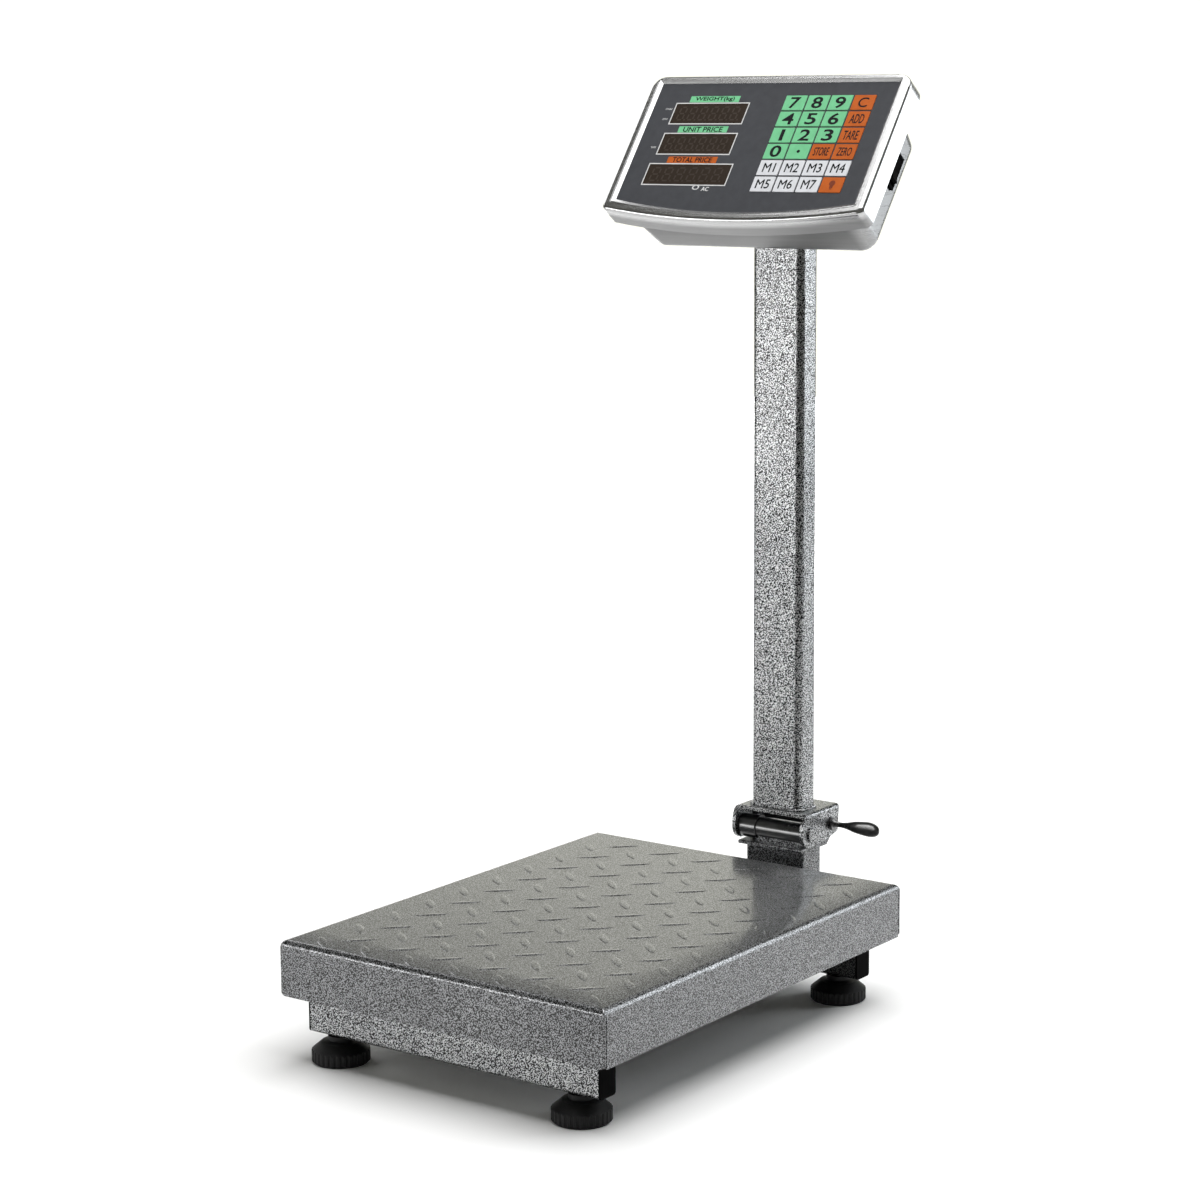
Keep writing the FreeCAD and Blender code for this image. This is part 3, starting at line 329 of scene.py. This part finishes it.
def printed(name, colour, roughness=0.42, grain=2600, gloss=0.3):
    """Printed film: a flat ink with faint mottling and a satin, finely textured skin."""
    material, nodes, links, shader = new_material(name)
    where = nodes.new("ShaderNodeTexCoord").outputs["Object"]
    skin = noise(nodes, links, where, grain, 1.0, 0.5)
    mottle = noise(nodes, links, where, 120, 3.0, 0.6)
    shader.inputs["Specular IOR Level"].default_value = gloss
    low = tuple(c * 0.94 for c in colour)
    high = tuple(min(1.0, c * 1.04) for c in colour)
    links.new(ramp(nodes, links, mottle.outputs["Fac"], [(0.35, low), (0.65, high)]),
              shader.inputs["Base Color"])
    links.new(span(nodes, links, skin.outputs["Fac"], roughness - 0.08, roughness + 0.08),
              shader.inputs["Roughness"])
    links.new(bump(nodes, links, skin.outputs["Fac"], 0.12, 0.0001), shader.inputs["Normal"])
    return material


HAMMERED = hammered("hammered_grey_enamel", (0.006, 0.0065, 0.0065), (0.52, 0.53, 0.535), metal=0.88)
TRAY_PAINT = hammered("hammered_tray_enamel", (0.004, 0.0045, 0.0045), (0.30, 0.305, 0.315),
                      metal=0.7, coat=0.7, sheet=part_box("weighing_tray"))
# Painted shade: the hammered grey enamel made far darker for the channels, cross tube and frame under the
# tray.
SHADED_HAMMERED = hammered("hammered_enamel_painted_shade", (0.008, 0.008, 0.009), (0.12, 0.125, 0.12))
# Painted reflection: the hammered grey made darker for the mast post and lower hinge bracket, standing in
# for the post's dark reflection.
DARK_REFLECTION_POST_PAINT = hammered("hammered_post_enamel_painted_reflection", (0.006, 0.006, 0.006), (0.26, 0.265, 0.27))
BLACK = enamel_black("black_enamel", 0.26, (0.006, 0.006, 0.0065))
PLASTIC = moulded("black_plastic", (0.0010, 0.0010, 0.0011), 0.5, gloss=0.01)
FOOT_RUBBER = moulded("foot_black", (0.005, 0.005, 0.0055), 0.5, 1100, 0.35, 0.25)
PAD_RUBBER = moulded("pad_rubber", (0.012, 0.012, 0.012), 0.7)
# The shells below the fascia's lower edge and behind the rim, where the steel gets painted shade and a
# rougher skin.
SHADED_UNDERSIDE = ((UP, FACE_ORIGIN.dot(UP) + 2 * MM), (OUT, FACE_ORIGIN.dot(OUT) - 9 * MM))
# The rear shell's steel is the rim's stainless painted darker as shade; the two are lit and shaded copies
# of one steel.
STEEL = brushed("brushed_stainless", (0.56, 0.56, 0.56), 0.22, (5, 60, 420), 0.06, SHADED_UNDERSIDE)
SHADED_SHELL_STEEL = brushed("stainless_painted_darker", (0.32, 0.32, 0.32), 0.26, (5, 30, 420), 0.05, SHADED_UNDERSIDE)
ZINC = brushed("zinc_plate", (0.50, 0.51, 0.53), 0.32, (300, 300, 300))
ALUMINIUM = brushed("machined_aluminium", (0.62, 0.63, 0.64), 0.3, (900, 20, 900))
FASCIA = printed("fascia_film", (0.060, 0.062, 0.069), 0.45, 2600, 0.06)
GREEN = printed("key_green_film", (0.17, 0.53, 0.27), gloss=0.1)
ORANGE = printed("key_orange_film", (0.48, 0.105, 0.017), gloss=0.08)
WHITE = printed("key_white_film", (0.66, 0.67, 0.70), gloss=0.1)
INK = printed("black_ink", (0.006, 0.007, 0.009), 0.45, 2600, 0.1)
LAMP_INK = printed("lamp_ink", (0.20, 0.045, 0.02), gloss=0.08)
WHITE_INK = printed("white_ink", (0.66, 0.66, 0.66), gloss=0.1)
WINDOW = printed("window_tint", (0.036, 0.027, 0.021), 0.2, 1200, 0.08)
GHOST = printed("unlit_segment", (0.047, 0.036, 0.029), 0.3, 1200, 0.08)
BOARD = printed("solder_mask", (0.02, 0.13, 0.05), 0.35)

NODE_MATERIALS = {
    "weighing_tray": TRAY_PAINT,
    "mast_post": DARK_REFLECTION_POST_PAINT, "lower_hinge_bracket": DARK_REFLECTION_POST_PAINT, "rear_cross_tube": SHADED_HAMMERED,
    "base_channel": SHADED_HAMMERED, "spider_frame": SHADED_HAMMERED,
    "hinge_barrel": BLACK, "hinge_pin": BLACK, "clamp_lever": BLACK, "column_yoke": BLACK,
    "head_tilt_bracket": BLACK,
    "tube_end_caps": PLASTIC, "tilt_knob": PLASTIC, "switch_bezel": PLASTIC, "switch_rocker": PLASTIC,
    "led_displays": PLASTIC, "power_inlet": PLASTIC,
    "tray_rest_pads": PAD_RUBBER, "load_cell": ALUMINIUM, "load_cell_spacers": ZINC,
    "load_cell_bolts": ZINC, "shell_screws": ZINC, "front_shell": STEEL, "rear_shell": SHADED_SHELL_STEEL,
    "fascia_panel": FASCIA, "display_windows": WINDOW, "main_board": BOARD, "battery": PLASTIC,
}


def node_material(node):
    """Material for a CAD node."""
    if node.startswith("foot_"):
        return FOOT_RUBBER
    if node.startswith("key_"):
        slot_name = {s["node"]: s["material_slot"] for s in frame["record"]["subparts"]}[node]
        return {"key_green": GREEN, "key_orange": ORANGE, "key_white": WHITE}[slot_name]
    return NODE_MATERIALS.get(node, HAMMERED)


for node_name, node_object in frame["nodes"].items():
    for material_slot in node_object.material_slots:
        material_slot.material = node_material(node_name)


# ---------------------------------------------------------------- piece helpers

INK_RAISE = 0.06 * MM


def add_piece(name, mesh, material, body, smooth=True):
    """Link a mesh as a piece of the object that rides on a body."""
    piece = bpy.data.objects.new(name, mesh)
    bpy.context.scene.collection.objects.link(piece)
    mesh.materials.clear()
    mesh.materials.append(material)
    for polygon in mesh.polygons:
        polygon.use_smooth = smooth
    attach(piece, body)
    return piece


def mesh_from(name, build):
    """Mesh from a function that fills a bmesh."""
    made = bmesh.new()
    build(made)
    bmesh.ops.recalc_face_normals(made, faces=made.faces)
    mesh = bpy.data.meshes.new(name)
    made.to_mesh(mesh)
    made.free()
    return mesh


def text_mesh(name, words, width, height, bold=0.0):
    """Mesh of a line of plain type, centred, scaled to a width and height."""
    curve = bpy.data.curves.new(name, "FONT")
    curve.body = words
    curve.align_x = "CENTER"
    curve.align_y = "CENTER"
    curve.offset = bold
    curve.extrude = 0.004
    curve.resolution_u = 4
    holder = bpy.data.objects.new(name + "_type", curve)
    bpy.context.scene.collection.objects.link(holder)
    bpy.context.view_layer.update()
    mesh = bpy.data.meshes.new_from_object(holder)
    bpy.data.objects.remove(holder)
    bpy.data.curves.remove(curve)
    points = [vertex.co for vertex in mesh.vertices]
    low = [min(p[i] for p in points) for i in range(3)]
    high = [max(p[i] for p in points) for i in range(3)]
    scale = (width / (high[0] - low[0]), height / (high[1] - low[1]), INK_RAISE / (high[2] - low[2]))
    for vertex in mesh.vertices:
        vertex.co = Vector([(vertex.co[i] - (low[i] + high[i]) / 2) * scale[i] for i in range(3)])
    return mesh


def struck_mesh(mesh, reach):
    """The same type struck four times a little apart, for a heavier stroke."""
    struck = bmesh.new()
    for i, (dx, dy) in enumerate(((-1, 0), (1, 0), (0, -1), (0, 1))):
        before = len(struck.verts)
        struck.from_mesh(mesh)
        struck.verts.ensure_lookup_table()
        for vertex in struck.verts[before:]:
            vertex.co += Vector((dx * reach, dy * reach, i * 0.004 * MM))
    struck.to_mesh(mesh)
    struck.free()


def face_text(name, words, u, v, width, height, lift, material, body, bold=0.0, strike=0.0):
    """Words printed on the fascia or on a key."""
    mesh = text_mesh(name, words, width, height, bold)
    if strike:
        struck_mesh(mesh, strike)
    mesh.transform(face_matrix(u, v, lift + INK_RAISE / 2))
    return add_piece(name, mesh, material, body, False)


def flat_patch(bm, u0, u1, v0, v1, n0, n1, matrix):
    """Thin block in the face's plane."""
    corners = []
    for n in (n0, n1):
        for u, v in ((u0, v0), (u1, v0), (u1, v1), (u0, v1)):
            corners.append(bm.verts.new(matrix @ Vector((u, v, n))))
    for loop in ((0, 1, 2, 3), (7, 6, 5, 4), (0, 4, 5, 1), (1, 5, 6, 2), (2, 6, 7, 3), (3, 7, 4, 0)):
        bm.faces.new([corners[i] for i in loop])


# ---------------------------------------------------------------- tray tread

LUG_LENGTH = 28 * MM
LUG_WIDTH = 7 * MM
LUG_PITCH = 42 * MM
LUG_SINK = 0.02 * MM
TREAD_HALF_X = 141 * MM
TREAD_HALF_Y = 191 * MM
# Angle, first lug's x and y from the tray's middle, height, and power of the crest.
LUG_SETS = ((math.radians(45), -16 * MM, -166 * MM, 0.45 * MM, 2),
            (math.radians(-45), 5 * MM, -143 * MM, 0.3 * MM, 4))


def lens_lug(bm, centre, angle, height, crest):
    """Raised lens of a tread plate: pointed ends and a rounded crest, flatter for a larger power."""
    along = Vector((math.cos(angle), math.sin(angle), 0))
    across = Vector((-math.sin(angle), math.cos(angle), 0))
    rings = []
    steps, lanes = 18, 12
    for i in range(steps + 1):
        t = -1 + 2 * i / steps
        half = LUG_WIDTH / 2 * (1 - t * t) + 0.1 * MM
        row = []
        for j in range(lanes + 1):
            side = -1 + 2 * j / lanes
            rise = height * (1 - t ** 4) * (1 - abs(side) ** crest)
            flat = centre + along * (t * LUG_LENGTH / 2) + across * (side * half)
            row.append(bm.verts.new(flat + Z * rise))
        rings.append(row)
    for a, b in zip(rings, rings[1:]):
        for j in range(lanes):
            bm.faces.new((a[j], a[j + 1], b[j + 1], b[j]))


def tread_lugs():
    """Lugs of the tread plate, in two crossed directions on the tray's top."""
    low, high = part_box("weighing_tray")
    cx, cy = (low[0] + high[0]) / 2, (low[1] + high[1]) / 2

    def build(bm):
        for angle, start_x, start_y, height, crest in LUG_SETS:
            for i in range(-5, 6):
                for j in range(-2, 12):
                    x = start_x + i * LUG_PITCH
                    y = start_y + j * LUG_PITCH
                    if abs(x) < TREAD_HALF_X and abs(y) < TREAD_HALF_Y:
                        centre = Vector((cx + x, cy + y, high[2] - LUG_SINK))
                        lens_lug(bm, centre, angle, height, crest)
    add_piece("tread_lugs", mesh_from("tread_lugs", build), TRAY_PAINT, "tray")


tread_lugs()


# ---------------------------------------------------------------- keypad and displays

DIGIT_BOLD = 0.018
LEGEND_STRIKE = 0.09 * MM
LABEL_STRIKE = 0.14 * MM
NOTE_STRIKE = 0.1 * MM
BULB_RADIUS = 2.7 * MM

# Words, width and height in millimetres.
KEY_LEGENDS = {
    "7": ("7", 9.4, 10.8), "8": ("8", 9.6, 11.0), "9": ("9", 9.6, 11.0), "clear": ("C", 8.6, 9.2),
    "4": ("4", 10.4, 10.8), "5": ("5", 9.8, 10.8), "6": ("6", 9.6, 11.0), "add": ("ADD", 12.4, 8.4),
    "1": ("1", 3.3, 10.8), "2": ("2", 9.8, 10.8), "3": ("3", 9.6, 11.0), "tare": ("TARE", 13.6, 8.4),
    "0": ("0", 10.0, 11.0), "dot": (".", 2.8, 2.8), "store": ("STORE", 13.6, 7.8),
    "zero": ("ZERO", 12.8, 7.8), "m1": ("M1", 11.0, 8.4), "m2": ("M2", 12.4, 8.4),
    "m3": ("M3", 12.4, 8.4), "m4": ("M4", 12.4, 8.4), "m5": ("M5", 12.4, 8.4),
    "m6": ("M6", 12.4, 8.4), "m7": ("M7", 12.4, 8.4),
}


def key_legends():
    """A legend on each key, and a bulb on the lamp key."""
    for key, (words, width, height) in KEY_LEGENDS.items():
        node = "key_" + key
        box = extent(node, FACE_ORIGIN, FACE_AXES)
        u, v = middle(box)[:2]
        bold = DIGIT_BOLD if key.isdigit() and key != "1" else 0.0
        strike = 0 if key.isdigit() else LEGEND_STRIKE
        face_text("legend_" + key, words, u, v, width * MM, height * MM, box[1][2], INK, node,
                  bold, strike)
    box = extent("key_lamp", FACE_ORIGIN, FACE_AXES)
    u, v = middle(box)[:2]

    def bulb(bm):
        matrix = face_matrix(u, v + 1.4 * MM, box[1][2])
        count = 28
        top = []
        for i in range(count):
            angle = 2 * math.pi * i / count
            spot = Vector((BULB_RADIUS * math.cos(angle), BULB_RADIUS * math.sin(angle), INK_RAISE))
            top.append(bm.verts.new(matrix @ spot))
        bm.faces.new(top)
        flat_patch(bm, -1.5 * MM, 1.5 * MM, -4.4 * MM, -2.2 * MM, 0, INK_RAISE, matrix)
        flat_patch(bm, -1.1 * MM, 1.1 * MM, -5.6 * MM, -4.8 * MM, 0, INK_RAISE, matrix)
    add_piece("legend_lamp", mesh_from("legend_lamp", bulb), LAMP_INK, "key_lamp", False)


WINDOW_REACH = 21 * MM


def window_boxes():
    """(u0, u1, v0, v1) of each display window, top to bottom."""
    rows = []
    for vertex in frame["nodes"]["display_windows"].data.vertices:
        offset = vertex.co - FACE_ORIGIN
        u, v = offset.dot(X), offset.dot(UP)
        for row in rows:
            if abs(row[2] - v) < WINDOW_REACH and abs(row[3] - v) < WINDOW_REACH:
                row[:] = min(row[0], u), max(row[1], u), min(row[2], v), max(row[3], v)
                break
        else:
            rows.append([u, u, v, v])
    return sorted(rows, key=lambda row: -row[2])


SEGMENTS = {
    "a": (0, 1, 1, 1), "b": (1, 0.5, 1, 1), "c": (1, 0, 1, 0.5), "d": (0, 0, 1, 0),
    "e": (0, 0, 0, 0.5), "f": (0, 0.5, 0, 1), "g": (0, 0.5, 1, 0.5),
}


DIGIT_LEAN = 0.10
DIGIT_HEIGHT = 12.4 * MM
DIGIT_COUNT = 6
OUTLINE = 0.95 * MM
TAB_HALF_WIDTH = 24 * MM


def digit(bm, matrix, u, v, width, height, line):
    """Seven unlit segments and a point."""
    for x0, y0, x1, y1 in SEGMENTS.values():
        gap = line * 0.65
        ax, ay, bx, by = x0 * width, y0 * height, x1 * width, y1 * height
        if y0 == y1:
            corners = [(ax + gap, ay - line / 2), (bx - gap, ay - line / 2),
                       (bx - gap, ay + line / 2), (ax + gap, ay + line / 2)]
        else:
            corners = [(ax - line / 2, ay + gap), (ax + line / 2, ay + gap),
                       (ax + line / 2, by - gap), (ax - line / 2, by - gap)]
        bm.faces.new([bm.verts.new(matrix @ Vector((u + x + y * DIGIT_LEAN, v + y, INK_RAISE / 2)))
                      for x, y in corners])
    flat_patch(bm, u + width + line, u + width + 2 * line, v - line / 2, v + line / 2, 0,
               INK_RAISE / 2, matrix)


def displays():
    """White outlines, unlit digits, and the coloured tab above each display."""
    tabs = (("weight", "WEIGHT(kg)", GREEN, "key_green"),
            ("unit_price", "UNIT PRICE", GREEN, "key_green"),
            ("total_price", "TOTAL PRICE", ORANGE, "key_orange"))
    matrix = face_matrix(0, 0, 0)
    boxes = window_boxes()

    def outlines(bm):
        for u0, u1, v0, v1 in boxes:
            left, right = u0 - OUTLINE, u1 + OUTLINE
            for a0, a1, b0, b1 in ((left, right, v1, v1 + OUTLINE), (left, right, v0 - OUTLINE, v0),
                                   (left, u0, v0, v1), (u1, right, v0, v1)):
                flat_patch(bm, a0, a1, b0, b1, 0, INK_RAISE, matrix)

    def ghosts(bm):
        for u0, u1, v0, v1 in boxes:
            cell = (u1 - u0 - 8 * MM) / DIGIT_COUNT
            for i in range(DIGIT_COUNT):
                digit(bm, matrix, u0 + 5 * MM + i * cell, (v0 + v1) / 2 - DIGIT_HEIGHT / 2, cell * 0.56,
                      DIGIT_HEIGHT, 1.5 * MM)
    add_piece("display_outlines", mesh_from("display_outlines", outlines), WHITE_INK, "head",
              False)
    add_piece("display_digits", mesh_from("display_digits", ghosts), GHOST, "head", False)
    for (name, words, material, slot), (u0, u1, v0, v1) in zip(tabs, boxes):
        low_v, high_v = v1 + 1.3 * MM, v1 + 7.4 * MM
        centre = u0 + (38 if name != "total_price" else 42) * MM - 2.6 * MM

        def tab(bm):
            flat_patch(bm, centre - TAB_HALF_WIDTH, centre + TAB_HALF_WIDTH, low_v, high_v, 0,
                       INK_RAISE, matrix)
        add_piece("tab_" + name, mesh_from("tab_" + name, tab), material, "head", False)
        face_text("label_" + name, words, centre, (low_v + high_v) / 2, 38 * MM, 4.7 * MM, INK_RAISE,
                  INK, "head", strike=LABEL_STRIKE)
    left = boxes[0][0]
    for i, (words, box, rise) in enumerate((("STABLE", boxes[0], 4.6), ("ZERO", boxes[0], -5.4),
                                            ("TARE", boxes[1], -3.6))):
        face_text("note_" + words.lower(), words, left - 6.2 * MM, (box[2] + box[3]) / 2 + rise * MM,
                  (6.6 if i == 0 else 5.2) * MM, 1.7 * MM, 0, WHITE_INK, "head")
    lamp_u, lamp_v = boxes[2][0] + 53.5 * MM, boxes[2][2] - 2.6 * MM

    def ring(bm):
        place = face_matrix(lamp_u, lamp_v, 0)
        count = 36
        rows = []
        for radius, lift in ((2.9, 0), (2.9, 1), (1.9, 1), (1.9, 0)):
            row = []
            for i in range(count):
                angle = 2 * math.pi * i / count
                row.append(bm.verts.new(place @ Vector((radius * MM * math.cos(angle) * 1.15,
                                                        radius * MM * math.sin(angle) * 0.8,
                                                        lift * INK_RAISE))))
            rows.append(row)
        for a, b in zip(rows, rows[1:]):
            for i in range(count):
                j = (i + 1) % count
                bm.faces.new((a[i], a[j], b[j], b[i]))
    add_piece("mains_lamp_ring", mesh_from("mains_lamp_ring", ring), WHITE_INK, "head", False)
    face_text("note_ac", "AC", lamp_u + 9.6 * MM, lamp_v - 1.4 * MM, 6.8 * MM, 3.8 * MM, 0, WHITE_INK,
              "head", strike=NOTE_STRIKE)


key_legends()
displays()


# ---------------------------------------------------------------- welds

def weld_bead(name, path, radius, body, seed):
    """Row of overlapping ripples along a path, like a hand-laid fillet weld."""
    rng = random.Random(seed)

    def build(bm):
        for start, end in zip(path, path[1:]):
            start, end = Vector(start), Vector(end)
            count = max(2, int((end - start).length / (radius * 0.7)))
            for i in range(count + 1):
                centre = start.lerp(end, i / count)
                size = radius * rng.uniform(0.85, 1.15)
                shift = Vector([rng.uniform(-0.08, 0.08) * radius for _ in range(3)])
                matrix = Matrix.Translation(centre + shift) @ Matrix.Diagonal((size, size, size * 0.8, 1))
                bmesh.ops.create_icosphere(bm, subdivisions=2, radius=1.0, matrix=matrix)
    add_piece(name, mesh_from(name, build), HAMMERED, body)


def welds():
    """Beads round the mast's foot and where the rear arm meets the post and the cross tube."""
    low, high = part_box("column_tube")
    z = low[2] + 0.6 * MM
    ring = [(low[0] + 4 * MM, low[1], z), (high[0] - 4 * MM, low[1], z), (high[0], low[1] + 4 * MM, z),
            (high[0], high[1] - 4 * MM, z), (high[0] - 4 * MM, high[1], z), (low[0] + 4 * MM, high[1], z),
            (low[0], high[1] - 4 * MM, z), (low[0], low[1] + 4 * MM, z), (low[0] + 4 * MM, low[1], z)]
    weld_bead("weld_mast_foot", ring, 2.1 * MM, "mast", 3)
    low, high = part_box("mast_post")
    arm_low, arm_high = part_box("rear_arm")
    ring = [(arm_low[0], low[1], arm_high[2]), (arm_high[0], low[1], arm_high[2])]
    weld_bead("weld_post_arm", ring, 1.8 * MM, "base", 5)
    tube_low, tube_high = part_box("rear_cross_tube")
    ring = [(arm_low[0], tube_high[1], arm_high[2]), (arm_high[0], tube_high[1], arm_high[2])]
    weld_bead("weld_arm_tube", ring, 1.8 * MM, "base", 7)


welds()


# ---------------------------------------------------------------- stage, light, camera

ROOM_GREY = 0.12
CAMERA_PLACE = Vector((1.28532, -1.79507, 0.70956))
CAMERA_AZIMUTH = math.radians(36.28)
CAMERA_PITCH = math.radians(9.76)
CAMERA_ROLL = math.radians(-0.4)
CAMERA_LENS = 87.24
FLOOR_MIDDLE = (-1.15, 1.55, 0)
FLOOR_RADIUS = 2.9
FLOOR_WHITE = (0.93, 0.93, 0.93)
# Direction of the white glow, and its brightness by degrees away from that direction.
GLOW = Vector((-0.44, 0.88, -0.17)).normalized()
GLOW_STOPS = ((42, ROOM_GREY), (33, 0.25), (29.5, 0.55), (26.5, 1.13))
GLOW_BLUE = 0.9
# Name, place, target, width, height, watts, spread in degrees, colour.
SOFT_BOXES = (
    ("top_box", (0.3, 0.5, 2.5), (0.3, 0.5, 0), 2.6, 2.6, 94, 180, (1, 1, 1)),
    ("left_box", (-1.5, -1.9, 0.30), (0, 0, 0.3), 1.5, 0.5, 17, 180, (1, 1, 1)),
    ("right_box", (1.6, 2.0, 0.85), (0, 0, 0.4), 1.0, 1.5, 24, 180, (0.93, 0.97, 1.0)),
    ("side_box", (-2.3, 0.75, 1.65), (0, 0.2, 0.68), 1.2, 1.2, 14, 180, (1, 1, 1)),
    ("backdrop_box", (-2.4, 3.3, 2.6), (-2.4, 3.3, 0), 3.4, 3.4, 215, 75, (1, 1, 1)),
)


def plain(name, colour, roughness):
    """Stage material with a faint mottling."""
    material, nodes, links, shader = new_material(name)
    where = nodes.new("ShaderNodeTexCoord").outputs["Object"]
    mottle = noise(nodes, links, where, 3, 3.0, 0.6)
    low = tuple(c * 0.985 for c in colour)
    links.new(ramp(nodes, links, mottle.outputs["Fac"], [(0.3, low), (0.7, colour)]),
              shader.inputs["Base Color"])
    shader.inputs["Roughness"].default_value = roughness
    return material


def floor():
    """Pale disc, set back and to the left so that it ends a short way in front of the scale."""
    def build(bm):
        bmesh.ops.create_circle(bm, cap_ends=True, segments=96, radius=FLOOR_RADIUS,
                                matrix=Matrix.Translation(FLOOR_MIDDLE))
    ground = bpy.data.objects.new("floor", mesh_from("floor", build))
    bpy.context.scene.collection.objects.link(ground)
    ground.data.materials.append(plain("floor_paint", FLOOR_WHITE, 0.7))


def area_light(name, place, target, width, height, power, spread, colour):
    """Soft box aimed at a point."""
    data = bpy.data.lights.new(name, "AREA")
    data.shape = "RECTANGLE"
    data.size, data.size_y = width, height
    data.energy = power
    data.color = colour
    data.spread = math.radians(spread)
    lamp = bpy.data.objects.new(name, data)
    lamp.location = place
    lamp.rotation_euler = (Vector(target) - Vector(place)).to_track_quat("-Z", "Y").to_euler()
    bpy.context.scene.collection.objects.link(lamp)


def surround():
    """Grey room with a white glow where the camera looks, so other views have a grey ground."""
    world = bpy.data.worlds.new("surround")
    world.use_nodes = True
    nodes, links = world.node_tree.nodes, world.node_tree.links
    facing = nodes.new("ShaderNodeVectorMath")
    facing.operation = "DOT_PRODUCT"
    facing.inputs[1].default_value = GLOW
    links.new(nodes.new("ShaderNodeTexCoord").outputs["Generated"], facing.inputs[0])
    stops = [(math.cos(math.radians(angle)), (level, level, level * GLOW_BLUE))
             for angle, level in GLOW_STOPS]
    links.new(ramp(nodes, links, facing.outputs["Value"], stops), nodes["Background"].inputs["Color"])
    bpy.context.scene.world = world


def studio():
    """Soft boxes overhead, front left, back right and left, and one over the floor behind."""
    surround()
    for box in SOFT_BOXES:
        area_light(*box)


def camera():
    """Long lens seen from the front right, a little above the keypad."""
    data = bpy.data.cameras.new("camera")
    data.lens = CAMERA_LENS
    data.sensor_width = 36
    data.clip_start, data.clip_end = 0.05, 60
    viewer = bpy.data.objects.new("camera", data)
    right = Vector((math.cos(CAMERA_AZIMUTH), math.sin(CAMERA_AZIMUTH), 0))
    back = Vector((right.y * math.cos(CAMERA_PITCH), -right.x * math.cos(CAMERA_PITCH),
                   math.sin(CAMERA_PITCH)))
    turn = Matrix((right, back.cross(right), back)).transposed().to_4x4()
    viewer.matrix_world = Matrix.Translation(CAMERA_PLACE) @ turn @ Matrix.Rotation(CAMERA_ROLL, 4, "Z")
    bpy.context.scene.collection.objects.link(viewer)
    bpy.context.scene.camera = viewer


floor()
studio()
camera()
bpy.context.scene.view_settings.view_transform = "Standard"

bpy.context.view_layer.update()
